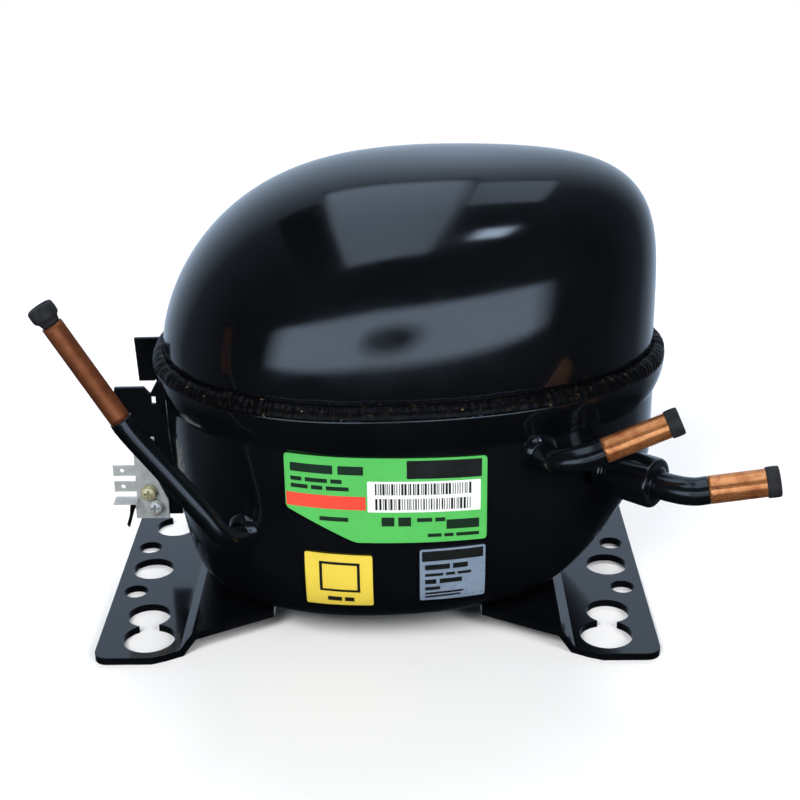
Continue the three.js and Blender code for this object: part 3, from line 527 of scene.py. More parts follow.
def spline(points, per_span=12):
    """A centripetal Catmull-Rom curve through the points."""
    points = [Vector(p) for p in points]
    padded = [2 * points[0] - points[1], *points, 2 * points[-1] - points[-2]]
    result = []
    for k in range(1, len(padded) - 2):
        p0, p1, p2, p3 = padded[k - 1:k + 3]
        t1 = (p1 - p0).length ** 0.5
        t2 = t1 + (p2 - p1).length ** 0.5
        t3 = t2 + (p3 - p2).length ** 0.5
        for step in range(per_span):
            t = t1 + (t2 - t1) * step / per_span
            a1 = p0.lerp(p1, t / t1)
            a2 = p1.lerp(p2, (t - t1) / (t2 - t1))
            a3 = p2.lerp(p3, (t - t2) / (t3 - t2))
            b1 = a1.lerp(a2, t / t2)
            b2 = a2.lerp(a3, (t - t1) / (t3 - t1))
            result.append(b1.lerp(b2, (t - t1) / (t2 - t1)))
    result.append(points[-1])
    return result


def sweep(name, centre_line, radii, bore=0.0, count=36):
    """A round tube along a line of points. radii gives the outer radius at each point."""
    frames = []
    tangent = (centre_line[1] - centre_line[0]).normalized()
    side = tangent.orthogonal().normalized()
    for k, point in enumerate(centre_line):
        ahead = centre_line[min(k + 1, len(centre_line) - 1)]
        behind = centre_line[max(k - 1, 0)]
        direction = (ahead - behind).normalized()
        side = (side - direction * side.dot(direction)).normalized()
        frames.append((point, side.copy(), direction.cross(side)))
    points, rings = [], []

    def ring(k, r):
        point, u, v = frames[k]
        indices = []
        for i in range(count):
            angle = 2 * math.pi * i / count
            indices.append(len(points))
            points.append(tuple(point + (u * math.cos(angle) + v * math.sin(angle)) * r))
        rings.append(indices)

    last = len(centre_line) - 1
    if bore > 0:
        for k in range(last + 1):
            ring(k, radii[k])
        for k in range(last, -1, -1):
            ring(k, bore)
        return outward(new_mesh(name, points, bridge(rings, True)))
    points.append(tuple(centre_line[0]))
    rings.append([0])
    for k in range(last + 1):
        ring(k, radii[k])
    points.append(tuple(centre_line[-1]))
    rings.append([len(points) - 1])
    return outward(new_mesh(name, points, bridge(rings, False)))


# ---------------------------------------- egg-shaped sections


def signed_power(value, power):
    return math.copysign(abs(value) ** power, value)


def plan_point(centre, left, right, depth, angle):
    c = signed_power(math.cos(angle), 2 / PLAN_POWER)
    s = signed_power(math.sin(angle), 2 / PLAN_POWER)
    return centre + (right if c > 0 else left) * c, depth * s


def halves(inset):
    return RIM_LEFT - inset, RIM_RIGHT - inset, RIM_DEPTH - inset


def corner_inset(curve, z, inward, bottom):
    """How far a bottom corner has come in at a height."""
    top, inset, power = curve
    fall = min(1, max(0, (top - z) / (top - bottom)))
    return (inset - inward) * (1 - (1 - fall ** power) ** (1 / power))


def wall_plan(z, inward=0, bottom=SHELL_BOTTOM):
    """Ring of the lower shell at a height: its outer surface, or one further in."""
    rise = min(1, max(0, (z - FLARE_START) / (RIM_TOP - FLARE_START)))
    flared = halves(WALL_INSET * (1 - rise) ** 2 + inward)
    left, right, depth = (
        half - corner_inset(curve, z, inward, bottom)
        for half, curve in zip(flared, (LEFT_CURVE, RIGHT_CURVE, FRONT_CURVE))
    )
    return EGG_X, left, right, depth, z, inward


def front_y(plan, x):
    """Front surface of a ring of the lower shell, on the label side."""
    left, right, depth = plan[1:4]
    along = abs(x - EGG_X) / (right if x > EGG_X else left)
    return -depth * (1 - along ** PLAN_POWER) ** (1 / PLAN_POWER)


def pressed_flat(point, inward):
    """The four lower corners of the shell are pressed flat where the feet pass under them."""
    normal = FLAT_NORMAL.copy()
    normal.x = math.copysign(normal.x, point.x)
    normal.y = math.copysign(normal.y, point.y)
    limit = (RIGHT_FLAT if point.x > 0 else LEFT_FLAT) - inward
    return point - normal * max(0, point.dot(normal) - limit)


def egg_loft(name, rings, closed=False, around=192):
    """A solid through rings of (centre, left, right, depth, z). A ring with no depth is a point.

    A sixth value, the distance inward, marks a ring whose corners are pressed flat.
    """
    points, loops = [], []
    for centre, left, right, depth, z, *inward in rings:
        loop = []
        for i in range(around if depth > 0 else 1):
            loop.append(len(points))
            if inward:
                point = Vector((*plan_point(centre, left, right, depth, 2 * math.pi * i / around), z))
                points.append(pressed_flat(point, *inward))
            elif depth > 0:
                points.append((*plan_point(centre, left, right, depth, 2 * math.pi * i / around), z))
            else:
                points.append((centre, 0, z))
        loops.append(loop)
    return outward(new_mesh(name, points, bridge(loops, closed)))


def ring_at(z, inset):
    return (EGG_X, *halves(inset), z)


# ---------------------------------------- shells


def dome_ring(part, thickness):
    """Section of the cover at a part of its crown, from 0 at the start to 1 at the apex."""
    left, right, depth = (size - thickness for size in DOME_PLAN)

    def side(curve):
        return max(0, 1 - part ** curve[0]) ** (1 / curve[1])

    lean = APEX_X - EGG_X
    centre = EGG_X + lean * part ** 2
    low = APEX_X - (left + lean) * side(DOME_LEFT)
    high = APEX_X + (right - lean) * side(DOME_RIGHT)
    z = DOME_START + (DOME_TOP - thickness - DOME_START) * part
    return centre, centre - low, high - centre, depth * side(DOME_DEPTH), z


def top_cover():
    steps = 80
    parts = [1 - (1 - math.sin(i / steps * math.pi / 2) ** 0.9) ** 1.25 for i in range(steps)]
    rings = [(APEX_X, 0, 0, 0, DOME_TOP)]
    rings += [dome_ring(part, 0) for part in reversed(parts)]
    rings += [(*dome_ring(0, 0)[:4], z) for z in (98, 96, RIM_TOP - 0.5)]
    rings += [ring_at(SKIRT_TOP, SKIRT_INSET), ring_at(SKIRT_BOTTOM, SKIRT_INSET)]
    rings += [ring_at(SKIRT_BOTTOM, SKIRT_INSET + WALL), ring_at(SKIRT_TOP, SKIRT_INSET + WALL)]
    rings += [dome_ring(part, WALL) for part in parts]
    rings += [(APEX_X, 0, 0, 0, DOME_TOP - WALL)]
    piece = egg_loft("dome", rings)
    return finish_piece(piece, "black_paint", replaces=("top_cover",))


def lower_shell():
    steps = 26
    spacing = 1.5
    top = FRONT_CURVE[0]
    floor = SHELL_BOTTOM + WALL
    turn = [math.sin(i / steps * math.pi / 2) for i in range(steps + 1)]
    straight = [top + spacing * (i + 1) for i in range(30)] + [FLARE_START + i for i in range(13)]
    outer = [top - (top - SHELL_BOTTOM) * part for part in reversed(turn)]
    inner = [top - (top - floor) * part for part in turn]
    rings = [(EGG_X, 0, 0, 0, SHELL_BOTTOM)]
    rings += [wall_plan(z) for z in outer + straight]
    rings += [ring_at(RIM_TOP - 0.3, 0), ring_at(RIM_TOP, 0.4)]
    rings += [ring_at(RIM_TOP, WALL - 0.4), ring_at(RIM_TOP - 0.4, WALL)]
    rings += [wall_plan(z, WALL, floor) for z in straight[::-1] + inner]
    rings.append((EGG_X, 0, 0, 0, floor))
    piece = egg_loft("pot", rings, around=288)
    return finish_piece(piece, "black_paint", replaces=("lower_shell",))


def weld_run():
    """The bead between the shells: overlapping ripples of uneven height."""
    rng = random.Random(7)
    around, section = 1000, 14
    ripples, mean_height = 170, 4.3
    phases = [rng.uniform(0, 2 * math.pi) for _ in range(8)]
    inner_plan = dome_ring(0, -0.05)[:4]
    bottom = RIM_TOP - 0.4
    points, loops = [], [[] for _ in range(section + 1)]
    for i in range(around):
        angle = 2 * math.pi * i / around
        wander = 2.4 * math.sin(23 * angle + phases[0]) + 1.6 * math.sin(61 * angle + phases[1])
        ripple = 0.5 + 0.5 * math.sin(ripples * angle + wander)
        slow = sum(math.sin(k * angle + phases[k % 8]) for k in (3, 7, 11, 17, 29)) / 5
        height = mean_height + 0.22 * ripple + 0.6 * slow + rng.uniform(-0.15, 0.15)
        reach = 0.15 - 0.2 * ripple - 0.3 * slow + rng.uniform(-0.08, 0.08)
        inner = plan_point(*inner_plan, angle)
        outer = plan_point(EGG_X, *halves(reach), angle)
        for j in range(section):
            t = j / (section - 1) * math.pi / 2
            out = math.cos(t) ** 0.75 if j < section - 1 else 0
            grain = rng.uniform(-0.07, 0.07) if j < section - 1 else 0
            loops[j].append(len(points))
            points.append((
                inner[0] + (outer[0] - inner[0]) * out * (1 + grain * 0.3),
                inner[1] + (outer[1] - inner[1]) * out * (1 + grain * 0.3),
                bottom + height * math.sin(t) ** 0.9 + grain,
            ))
        loops[section].append(len(points))
        points.append((*inner, bottom))
    piece = outward(new_mesh("weld_run", points, bridge(loops, True)))
    return finish_piece(piece, "burnt_weld", replaces=("weld_bead",))


top_cover()
lower_shell()
weld_run()

# ---------------------------------------- feet


def foot(side):
    raised = FOOT_RAISE + SHEET
    profile = [
        (FOOT_INNER, FOOT_RAISE), (FOOT_STEP_INNER - 0.8, FOOT_RAISE), (FOOT_STEP_OUTER - 0.8, 0),
        (FOOT_OUTER, 0), (FOOT_OUTER, SHEET), (FOOT_STEP_OUTER + 0.4, SHEET),
        (FOOT_STEP_INNER + 0.4, raised), (FOOT_INNER, raised),
    ]
    name = "left" if side < 0 else "right"
    bent = prism(f"{name}_foot_plate", [(side * x, z) for x, z in profile], -FOOT_DEPTH, FOOT_DEPTH, axis="y")
    half = list(FOOT_SPLAY)
    corner_x, corner_y = FOOT_OUTER - FOOT_CORNER, FOOT_DEPTH - FOOT_CORNER
    for i in range(13):
        angle = math.pi / 2 * (1 - i / 12)
        half.append((
            corner_x + FOOT_CORNER * math.cos(angle),
            corner_y + FOOT_CORNER * math.sin(angle),
        ))
    outline = [(side * x, -y) for x, y in half] + [(side * x, y) for x, y in reversed(half)]
    boolean(bent, prism("outline", outline, -5, raised + 5), "INTERSECT")
    for x, y, r in FOOT_HOLES:
        for place in sorted({y, -y}):
            boolean(bent, prism("hole", circle(side * x, place, r), -5, 15), "DIFFERENCE")
    flat_merged(bent)
    rounded_edges(bent, 0.7, angle=30)
    return finish_piece(bent, "black_paint", replaces=(f"{name}_foot",))


foot(-1)
foot(1)

# ---------------------------------------- tubes and caps


def step_towards(a, b, distance):
    return Vector(a) + (Vector(b) - Vector(a)).normalized() * distance


def root_line(path, end):
    lead = step_towards(path[-1], end, -4)
    return spline([*path[:-1], lead, path[-1]], 14)


def tube_root(name, path, end, tube):
    line = root_line(path, end)
    line.insert(-1, line[-2].lerp(line[-1], 0.6))
    radii = [tube.root] * (len(line) - 1) + [tube.root - 0.3]
    piece = sweep(f"{name}_root", line, radii, tube.bore)
    finish_piece(piece, "black_paint", replaces=(f"{name}_tube_root",), material=TUBE_ENAMEL)


def copper_stub(name, path, end, tube, grip):
    start = step_towards(path[-1], end, 0.1)
    tip = step_towards(end, path[-1], -grip)
    line = [start.lerp(tip, i / 24) for i in range(25)]
    piece = sweep(f"{name}_copper", line, [tube.stub] * len(line), tube.bore)
    finish_piece(piece, "copper", replaces=(f"{name}_tube_stub",), material=COPPER[name])


def subdivided(piece, levels):
    piece.modifiers.new("subsurf", "SUBSURF").levels = levels
    return apply_modifiers(piece)


def rubber_end(name, profile, path, end):
    """A moulded rubber piece turned on the axis of a tube's end."""
    piece = lathe(f"{name}_rubber_cap", profile, end, tube_direction(path, end))
    subdivided(piece, 1)
    finish_piece(piece, "black_rubber", body=f"{name}_plug", replaces=(f"{name}_cap",))


def rubber_cap(name, path, end, tube):
    socket, r, grip, length = tube.stub + 0.1, tube.cap, CAP_GRIP, CAP_LENGTH
    rubber_end(name, [
        (0, grip + 0.3), (socket - 0.3, grip + 0.3), (socket, grip), (socket, 0.3), (socket + 0.15, 0),
        (r - 0.2, 0), (r, 0.3), (r, length - 0.7), (r - 0.15, length - 0.2),
        (r - 0.6, length), (r - 1.3, length), (r - 1.6, length - 0.4), (0, length - 0.5),
    ], path, end)


def rubber_plug(name, path, end, tube):
    in_tube, neck, r, length = tube.bore - 0.3, tube.stub - 0.35, tube.cap, PLUG_LENGTH
    rubber_end(name, [
        (0, -PLUG_DEPTH), (in_tube - 0.4, -PLUG_DEPTH), (in_tube, 0.4 - PLUG_DEPTH), (in_tube, 0.3),
        (neck, 0.3), (neck, 1.8), (r - 0.3, 2.6), (r, 3.1), (r, length - 0.9),
        (r - 0.3, length - 0.3), (r - 0.8, length), (r - 1.3, length),
        (r - 1.6, length - 0.5), (0, length - 0.6),
    ], path, end)


def braze_collar(name, path, inner, outer, height):
    """The puddle of braze where a tube enters the shell."""
    profile = [
        (inner, -1.5), (outer + 0.8, -1.5), (outer + 0.3, 0.2),
        (outer - 0.5, height * 0.5), (inner + 0.35, height), (inner, height),
    ]
    wall = step_towards(path[0], path[1], TUBE_INSIDE)
    piece = lathe(f"{name}_collar", profile, wall, Vector(path[1]) - Vector(path[0]), 40)
    subdivided(piece, 2)
    finish_piece(piece, "black_paint")


for tube_name, path, end, tube, grip in (
    ("process", PROCESS_PATH, PROCESS_END, PROCESS, 0),
    ("suction", SUCTION_PATH, SUCTION_END, SUCTION, CAP_GRIP),
    ("discharge", DISCHARGE_PATH, DISCHARGE_END, DISCHARGE, CAP_GRIP),
):
    tube_root(tube_name, path, end, tube)
    copper_stub(tube_name, path, end, tube, grip)
rubber_plug("process", PROCESS_PATH, PROCESS_END, PROCESS)
rubber_cap("suction", SUCTION_PATH, SUCTION_END, SUCTION)
rubber_cap("discharge", DISCHARGE_PATH, DISCHARGE_END, DISCHARGE)

braze_collar("process", PROCESS_PATH, 3.7, 6.0, 2.4)
braze_collar("suction", SUCTION_PATH, 4.3, 6.4, 2.6)


def discharge_barrel():
    axis = Vector(DISCHARGE_BARREL_END) - Vector(DISCHARGE_START)
    length = axis.length
    profile = [
        (0, -6.5), (3.8, -6.5), (3.8, 0.5), (7.2, 0.5), (7.8, 1.0), (7.8, 3.2), (7.4, 3.7), (6.9, 3.9),
        (6.6, 4.3), (6.6, 5.6), (6.9, 6.0), (8.2, 6.1), (8.8, 6.8), (8.8, length - 1.1),
        (8.5, length - 0.35), (7.8, length), (6.0, length), (5.7, length + 0.3),
        (5.1, length + 0.5), (0, length + 0.5),
    ]
    piece = lathe("discharge_muffler_barrel", profile, DISCHARGE_START, axis, 64)
    rounded_edges(piece, 0.25, 2, 40)
    finish_piece(piece, "black_paint", replaces=("discharge_barrel",))


discharge_barrel()

# ---------------------------------------- stickers


class Film:
    """Thin patches that follow the front wall of the lower shell, gathered into one piece."""

    def __init__(self, low, high):
        self.low, self.high = low, high
        self.points, self.faces = [], []

    def patch(self, x0, x1, bottom, top, round_corners=0.0, step=2.0):
        """A patch between two heights, which may be functions of x."""
        edges = [0, 0.15, 0.4, 0.7, 1.0] if round_corners else [0]
        ends = [round_corners * e for e in edges]
        columns = max(1, round((x1 - x0) / step))
        inner = [x0 + (x1 - x0) * i / columns for i in range(columns + 1)]
        xs = sorted({round(x, 4) for x in inner + [x0 + e for e in ends] + [x1 - e for e in ends]})
        rows = None
        start = len(self.points)
        for proud in (self.low, self.high):
            for x in xs:
                reach = max(0.0, min(x - x0, x1 - x))
                trim = 0.0
                if reach < round_corners:
                    trim = round_corners - math.sqrt(round_corners ** 2 - (round_corners - reach) ** 2)
                low = (bottom(x) if callable(bottom) else bottom) + trim
                high = (top(x) if callable(top) else top) - trim
                if rows is None:
                    rows = max(1, round((high - low + 2 * trim) / step))
                for row in range(rows + 1):
                    z = low + (high - low) * row / rows
                    self.points.append((x, front_y(wall_plan(z, -proud), x), z))
        height = rows + 1
        layer = height * len(xs)
        for i in range(len(xs) - 1):
            for row in range(rows):
                a = start + i * height + row
                self.faces.append((a, a + 1, a + height + 1, a + height))
                self.faces.append((layer + a, layer + a + height, layer + a + height + 1, layer + a + 1))
            for a in (start + i * height, start + i * height + rows):
                self.faces.append((a, a + height, layer + a + height, layer + a))
        for row in range(rows):
            for a in (start + row, start + (len(xs) - 1) * height + row):
                self.faces.append((a, a + 1, layer + a + 1, layer + a))

    def piece(self, name, material, slot_name=None, replaces=()):
        piece = outward(new_mesh(name, self.points, self.faces, smooth=False))
        finish_piece(piece, slot_name, replaces=replaces, material=material)


BLACK_INK = sticker_film("black_ink", (0.006, 0.007, 0.006), (0.010, 0.011, 0.010), 0.3)
WHITE_INK = sticker_film("white_ink", (0.78, 0.80, 0.78), (0.84, 0.86, 0.84), 0.36)
RED_INK = sticker_film("red_ink", (0.72, 0.045, 0.02), (0.80, 0.06, 0.03), 0.34)
DARK_GREEN_INK = sticker_film("dark_green_ink", (0.004, 0.018, 0.007), (0.007, 0.026, 0.010), 0.34)

# Bottom and top of each layer, as distances outside the wall.
FILM = (0.35, 0.70)
PRINT = (0.66, 0.745)
SECOND_PRINT = (0.70, 0.79)

# Left and right edge of each sticker.
DATA_X = (-29.8, 38.4)
SQUARE_X = (-24.1, -0.8)
SILVER_X = (15.4, 38.1)


def line_through(x0, z0, x1, z1):
    """A straight edge as a height at each x."""
    return lambda x: z0 + (z1 - z0) * (x - x0) / (x1 - x0)


def slanted_bottom(x):
    """The large sticker has its lower left corner cut off at a slant."""
    cut = line_through(DATA_X[0], 61, -6.5, 48.7)
    level = line_through(-6.5, 48.7, DATA_X[1], 47.4)
    return max(cut(x), level(x))


def data_tilt(z):
    """A height on the large sticker, which is stuck on a little askew."""
    return line_through(DATA_X[0], z + 2.3, DATA_X[1], z)


def square_tilt(z):
    return line_through(SQUARE_X[0], z + 0.5, SQUARE_X[1], z - 0.5)


def greeked(film, x0, x1, z, height, words, tilt=data_tilt):
    """A line of unreadable print: plain blocks with gaps like those between words."""
    total = sum(words) + 0.6 * (len(words) - 1)
    x = x0
    for word in words:
        width = (x1 - x0) * word / total
        film.patch(x, x + width, tilt(z), tilt(z + height), step=3)
        x += width + (x1 - x0) * 0.6 / total


def data_sticker():
    base = Film(*FILM)
    base.patch(*DATA_X, slanted_bottom, data_tilt(78.9), round_corners=1.2)
    base.piece("data_sticker", MATERIALS["green_label"], "green_label", ("data_label",))

    black = Film(*PRINT)
    black.patch(11.3, 36.6, data_tilt(71.4), data_tilt(78.1), round_corners=0.3)
    black.piece("data_sticker_panel", BLACK_INK)

    red = Film(*PRINT)
    red.patch(-29.5, -2.6, lambda x: max(data_tilt(59.6)(x), slanted_bottom(x) + 0.2), data_tilt(64.6))
    red.piece("data_sticker_strip", RED_INK)

    white = Film(*PRINT)
    white.patch(-2, 36.2, data_tilt(58.9), data_tilt(70.4), round_corners=0.3)
    white.piece("data_sticker_code_field", WHITE_INK)

    ink = Film(*SECOND_PRINT)
    rng = random.Random(11)
    for z0, z1 in ((59.8, 64.0), (65.4, 69.6)):
        x = 0.6
        while x < 33:
            width = rng.choice((0.28, 0.28, 0.5, 0.75))
            ink.patch(x, x + width, data_tilt(z0), data_tilt(z1), step=6)
            x += width + rng.choice((0.3, 0.45, 0.6))
    ink.piece("data_sticker_bars", BLACK_INK)

    lines = Film(*PRINT)
    greeked(lines, -27.8, -3.2, 72.6, 3.2, (5, 3))
    greeked(lines, -27.8, -10.5, 69.2, 1.5, (2, 4, 2))
    greeked(lines, -27.8, -8.2, 66.5, 1.5, (3, 2, 4))
    greeked(lines, -18.4, -8.6, 55.0, 1.6, (4,))
    greeked(lines, 2.6, 12.6, 53.6, 3.4, (2, 2))
    greeked(lines, 14.6, 24.2, 55.2, 1.5, (3, 2))
    greeked(lines, 24.6, 35.8, 52.2, 3.6, (4,))
    greeked(lines, 18.2, 35.8, 49.3, 1.3, (3, 2, 5))
    lines.piece("data_sticker_lines", DARK_GREEN_INK)


def square_sticker():
    base = Film(*FILM)
    bottom = line_through(SQUARE_X[0], 22.3, SQUARE_X[1], 22)
    base.patch(*SQUARE_X, bottom, square_tilt(43.9), round_corners=0.8)
    base.piece("square_sticker", MATERIALS["yellow_label"], "yellow_label", ("square_label",))
    ink = Film(*PRINT)
    x0, x1 = -19.2, -5.2
    z0, z1 = 28.9, 40.9
    line = 1.0
    ink.patch(x0, x1, square_tilt(z1 - line), square_tilt(z1))
    ink.patch(x0, x1, square_tilt(z0), square_tilt(z0 + line))
    ink.patch(x0, x0 + line, square_tilt(z0 + line), square_tilt(z1 - line), step=3)
    ink.patch(x1 - line, x1, square_tilt(z0 + line), square_tilt(z1 - line), step=3)
    greeked(ink, -16.6, -7.4, 24.4, 2.0, (3, 2), square_tilt)
    ink.piece("square_sticker_frame", BLACK_INK)


def silver_sticker():
    base = Film(*FILM)
    bottom = line_through(SILVER_X[0], 23.6, SILVER_X[1], 22.6)
    base.patch(*SILVER_X, bottom, 45, round_corners=0.8)
    base.piece("silver_sticker", MATERIALS["silver_label"], "silver_label", ("silver_label",))
    ink = Film(*PRINT)
    ink.patch(16.2, 37.3, 40.4, 44.3, round_corners=0.3)
    for x1, z, height, words in (
        (32.0, 37.0, 2.0, (5, 3)), (33.2, 34.4, 1.1, (4, 2, 3)), (30.0, 31.2, 1.9, (2, 4)),
        (22.4, 28.4, 1.5, (3,)), (30.6, 26.4, 0.9, (6,)), (29.6, 24.8, 0.9, (6,)),
    ):
        greeked(ink, 17.2, x1, z, height, words, lambda level: level)
    ink.piece("silver_sticker_lines", BLACK_INK)


data_sticker()
square_sticker()
silver_sticker()

# ---------------------------------------- terminal side


def refined(node_name, slot_name, width, segments=2, angle=30):
    """The node's own shape with its flat sides joined and its edges rounded."""
    node = frame["nodes"][node_name]
    piece = in_scene(f"{node_name}_rounded", node.data.copy())
    flat_merged(piece)
    rounded_edges(piece, width, segments, angle)
    return finish_piece(piece, slot_name, replaces=(node_name,))


refined("terminal_fence", "black_paint", 0.35)
refined("earth_bracket", "zinc", 0.16)
refined("upper_earth_screw", "yellow_zinc", 0.2)
refined("lower_earth_screw", "zinc", 0.2)
refined("hermetic_terminal", "zinc", 0.3)

# ---------------------------------------- springs, line and leads

SHAFT_X = 8
BOLT_HALF = 33
SPRING_BOTTOM, SPRING_TOP = 14.8, 32.6
SPRING_R, SPRING_WIRE, SPRING_TURNS = 6, 0.9, 4
LOOP_PATH = (
    (62, -30, 91.2), (62.4, -29.6, 86), (72, -20, 79), (82, -8, 75.5), (86, 2, 72.5), (82, 4, 69.5),
    (74, -8, 67.6), (69, -22, 66), (72.2, -34.4, 65.5),
)
LEAD_PATH = (
    (-60.6, 12, 58), (-55, 12.5, 59.6), (-49, 12, 68), (-46, 10, 78), (-43.5, 8, 86), (-38, 7, 90.5),
    (-33.4, 6.4, 91.5),
)


def hung_between(piece, slot_name, node_name):
    """A piece hung between the shell and the pump: gives it its material, hides its node and bakes its
    transform into the mesh.
    """
    piece.data.materials.append(MATERIALS[slot_name])
    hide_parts(node_name)
    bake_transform(piece)


def suspension_springs():
    for i, (sx, sy) in enumerate(((-1, -1), (1, -1), (-1, 1), (1, 1))):
        x, y = SHAFT_X + sx * BOLT_HALF, sy * BOLT_HALF
        steps = 40 * SPRING_TURNS
        line = []
        for k in range(steps + 1):
            t = k / steps
            angle = 2 * math.pi * SPRING_TURNS * t
            z = SPRING_BOTTOM + SPRING_WIRE + (SPRING_TOP - SPRING_BOTTOM - 2 * SPRING_WIRE) * t
            line.append(Vector((x + SPRING_R * math.cos(angle), y + SPRING_R * math.sin(angle), z)))
        piece = sweep(f"suspension_coil_{i + 1}", line, [SPRING_WIRE] * len(line), count=12)
        hung_between(piece, "spring_steel", f"suspension_spring_{i + 1}")


suspension_springs()
loop = spline(LOOP_PATH, 10)
loop_piece = sweep("discharge_line", loop, [1.8] * len(loop), count=16)
hung_between(loop_piece, "machined_steel", "discharge_loop")
leads = spline(LEAD_PATH, 10)
leads_piece = sweep("sleeved_leads", leads, [2.6] * len(leads), count=16)
hung_between(leads_piece, "lead_sleeve", "motor_leads")

# ---------------------------------------- camera

LENS = 66.217                      # focal length and frame width in millimetres
SENSOR = 36
PITCH = math.radians(22.999)
YAW = math.radians(-0.461)
ROLL = math.radians(-0.791)
EYE = (12.957, -506.403, 288.651)


def camera():
    data = bpy.data.cameras.new("camera")
    data.sensor_width = SENSOR
    data.lens = LENS
    data.clip_start = 0.01
    look = Vector((math.sin(YAW) * math.cos(PITCH), math.cos(YAW) * math.cos(PITCH), -math.sin(PITCH)))
    level = Vector((math.cos(YAW), -math.sin(YAW), 0))
    above = level.cross(look)
    right = level * math.cos(ROLL) + above * math.sin(ROLL)
    up = above * math.cos(ROLL) - level * math.sin(ROLL)
    turn = Matrix((right, up, -look)).transposed().to_4x4()
    eye = in_scene("camera", data)
    eye.matrix_world = Matrix.Translation(at(*EYE)) @ turn
    bpy.context.scene.camera = eye


camera()

# ---------------------------------------- studio


def unit_square(name):
    mesh = bpy.data.meshes.new(name)
    mesh.from_pydata([(-1, -1, 0), (1, -1, 0), (1, 1, 0), (-1, 1, 0)], [], [(0, 1, 2, 3)])
    return mesh


def studio_floor():
    """A pale floor that becomes see-through away from the object, so that it has no edge."""
    mesh = unit_square("floor")
    floor = in_scene("floor", mesh)
    s = Shader("floor", Specular_IOR_Level=0.2)
    s.set("Base Color", s.ramp(s.noise(4, 2), (0.3, (0.94, 0.94, 0.94)), (0.7, (0.955, 0.955, 0.955))))
    s.set("Roughness", 0.7)
    away = s.nodes.new("ShaderNodeVectorMath")
    away.operation = "LENGTH"
    s.links.new(s.place, away.inputs[0])
    s.set("Alpha", s.ramp(away.outputs["Value"], (0.35, 1.0), (0.9, 0.0)))
    mesh.materials.append(s.material)
    floor.visible_glossy = False


# The middle of the cover, which the reflection panels are placed around.
AIM = Vector((0.0, 0.0, 0.125))
TINT = (0.66, 0.83, 1.06)


def panel(name, middle, half_width, half_height, strength, soft=0.25, upright=False, hole=None):
    """A studio panel that only shows in reflections, brightest inside and fading at its edges.

    middle is measured from AIM, in metres. A panel lies flat or stands upright. One with no
    strength is a flag, which shows as black.
    hole is (u, v, size), a dark spot on it, placed in parts of its half sizes.
    """
    mesh = unit_square(name)
    piece = in_scene(name, mesh)
    piece.scale = (half_width, half_height, 1)
    piece.location = AIM + Vector(middle)
    piece.rotation_euler = (math.pi / 2 if upright else 0, 0, 0)
    s = Shader(name)
    parts = s.nodes.new("ShaderNodeSeparateXYZ")
    s.links.new(s.place, parts.inputs[0])
    fade = None
    for axis in ("X", "Y"):
        size = s.nodes.new("ShaderNodeMath")
        size.operation = "ABSOLUTE"
        s.links.new(parts.outputs[axis], size.inputs[0])
        edge = s.ramp(size.outputs[0], (1 - soft, 1.0), (1.0, 0.0))
        fade = edge if fade is None else s.product(fade, edge)
    if hole:
        spot = s.nodes.new("ShaderNodeVectorMath")
        spot.operation = "DISTANCE"
        grow = s.nodes.new("ShaderNodeMapping")
        grow.inputs["Scale"].default_value = (half_width, half_height, 1)
        s.links.new(s.place, grow.inputs["Vector"])
        s.links.new(grow.outputs[0], spot.inputs[0])
        spot.inputs[1].default_value = (hole[0] * half_width, hole[1] * half_height, 0)
        fade = s.product(fade, s.ramp(spot.outputs["Value"], (hole[2] * 0.35, 0.05), (hole[2], 1.0)))
    glow = s.nodes.new("ShaderNodeEmission")
    glow.inputs["Color"].default_value = (*TINT, 1)
    power = s.nodes.new("ShaderNodeMath")
    power.operation = "MULTIPLY"
    power.inputs[1].default_value = strength
    s.links.new(fade, power.inputs[0])
    s.links.new(power.outputs[0], glow.inputs["Strength"])
    s.nodes.remove(s.surface)
    s.links.new(glow.outputs[0], s.nodes["Material Output"].inputs["Surface"])
    mesh.materials.append(s.material)
    piece.visible_camera = False
    piece.visible_diffuse = False
    piece.visible_shadow = False
    piece.visible_transmission = False


def softbox(name, place, width, height, power):
    data = bpy.data.lights.new(name, "AREA")
    data.shape = "RECTANGLE"
    data.size = width
    data.size_y = height
    data.energy = power
    lamp = in_scene(name, data)
    lamp.location = place
    lamp.rotation_euler = (AIM - Vector(place)).to_track_quat("-Z", "Y").to_euler()
    lamp.visible_glossy = False


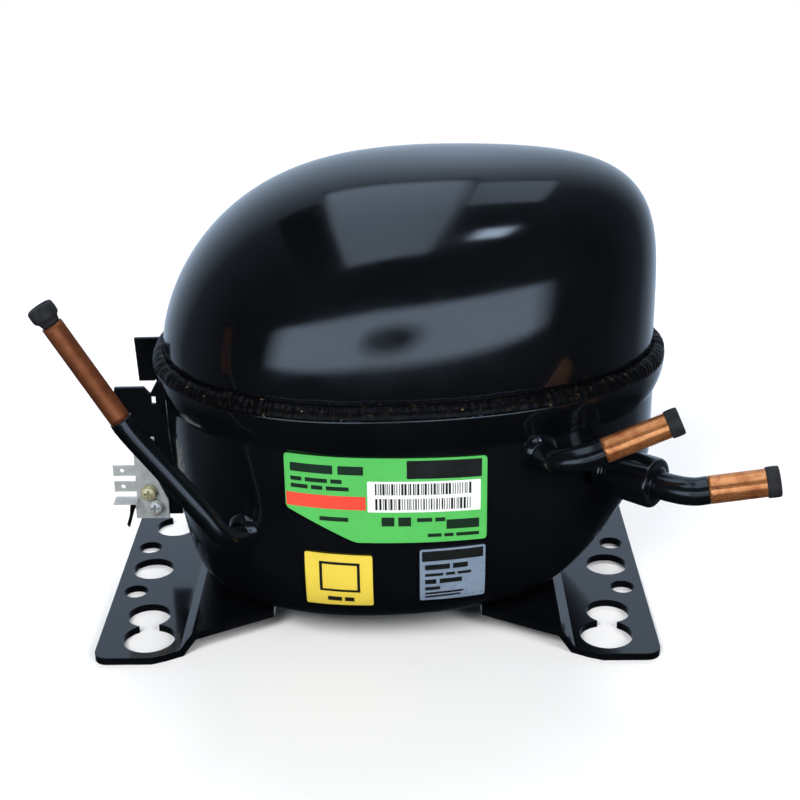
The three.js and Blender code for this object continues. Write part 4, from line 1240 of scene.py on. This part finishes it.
def surroundings():
    """A room that the camera sees as plain white, and that is brighter at the back as a light."""
    world = bpy.data.worlds.new("studio")
    world.use_nodes = True
    nodes, links = world.node_tree.nodes, world.node_tree.links
    room = nodes["Background"]
    room.inputs["Color"].default_value = (1, 1, 1, 1)
    room.inputs["Strength"].default_value = 1
    direction = nodes.new("ShaderNodeTexCoord").outputs["Generated"]
    parts = nodes.new("ShaderNodeSeparateXYZ")
    links.new(direction, parts.inputs[0])

    def graded(axis, low, high, least=0.0):
        """Rises from least to one between two values of the direction's part along an axis."""
        node = nodes.new("ShaderNodeMapRange")
        for socket, value in (("From Min", low), ("From Max", high), ("To Min", least)):
            node.inputs[socket].default_value = value
        links.new(parts.outputs[axis], node.inputs["Value"])
        return node.outputs[0]

    ramp = nodes.new("ShaderNodeValToRGB")
    stops = ((0, 0.02), (0.35, 0.02), (0.52, 0.07), (0.68, 0.12), (0.80, 0.42), (0.92, 0.75))
    elements = ramp.color_ramp.elements
    while len(elements) < len(stops):
        elements.new(0.5)
    for element, (position, value) in zip(elements, stops):
        element.position = position
        element.color = (*(value * t for t in TINT), 1)
    links.new(graded("Y", -1, 1), ramp.inputs["Fac"])
    reflected = nodes.new("ShaderNodeBackground")
    links.new(ramp.outputs["Color"], reflected.inputs["Color"])
    links.new(graded("Z", -0.58, -0.40, 0.05), reflected.inputs["Strength"])
    path = nodes.new("ShaderNodeLightPath")
    mix = nodes.new("ShaderNodeMixShader")
    links.new(path.outputs["Is Camera Ray"], mix.inputs["Fac"])
    links.new(reflected.outputs[0], mix.inputs[1])
    links.new(room.outputs[0], mix.inputs[2])
    links.new(mix.outputs[0], nodes["World Output"].inputs["Surface"])
    bpy.context.scene.world = world


def studio():
    studio_floor()
    surroundings()
    panel("overhead_panel", (-0.19, -0.05, 1.15), 0.33, 0.92, 1.5, 0.16)
    panel("rear_panel", (0.25, 0.40, 1.16), 0.26, 0.34, 1.0, 0.2)
    panel("left_flag", (-0.70, -0.15, 1.10), 0.2, 0.72, 0, 0.3)
    panel("side_flag", (-0.24, 0.30, -0.205), 0.17, 0.07, 0, 0.1, True)
    panel("lamp", (0.41, -0.57, 1.17), 0.15, 0.15, 7, 0.6)
    panel("front_panel", (0.02, -1.25, 0.02), 1.45, 0.37, 2.3, 0.3, True, hole=(0.02, -0.12, 0.22))
    softbox("key", (-0.5, -0.9, 0.95), 0.6, 0.6, 16)
    softbox("fill", (0.8, -0.8, 0.7), 0.6, 0.6, 10)
    softbox("back", (0.1, 0.8, 1.0), 0.9, 0.5, 12)


studio()

view = bpy.context.scene.view_settings
view.view_transform = "Standard"
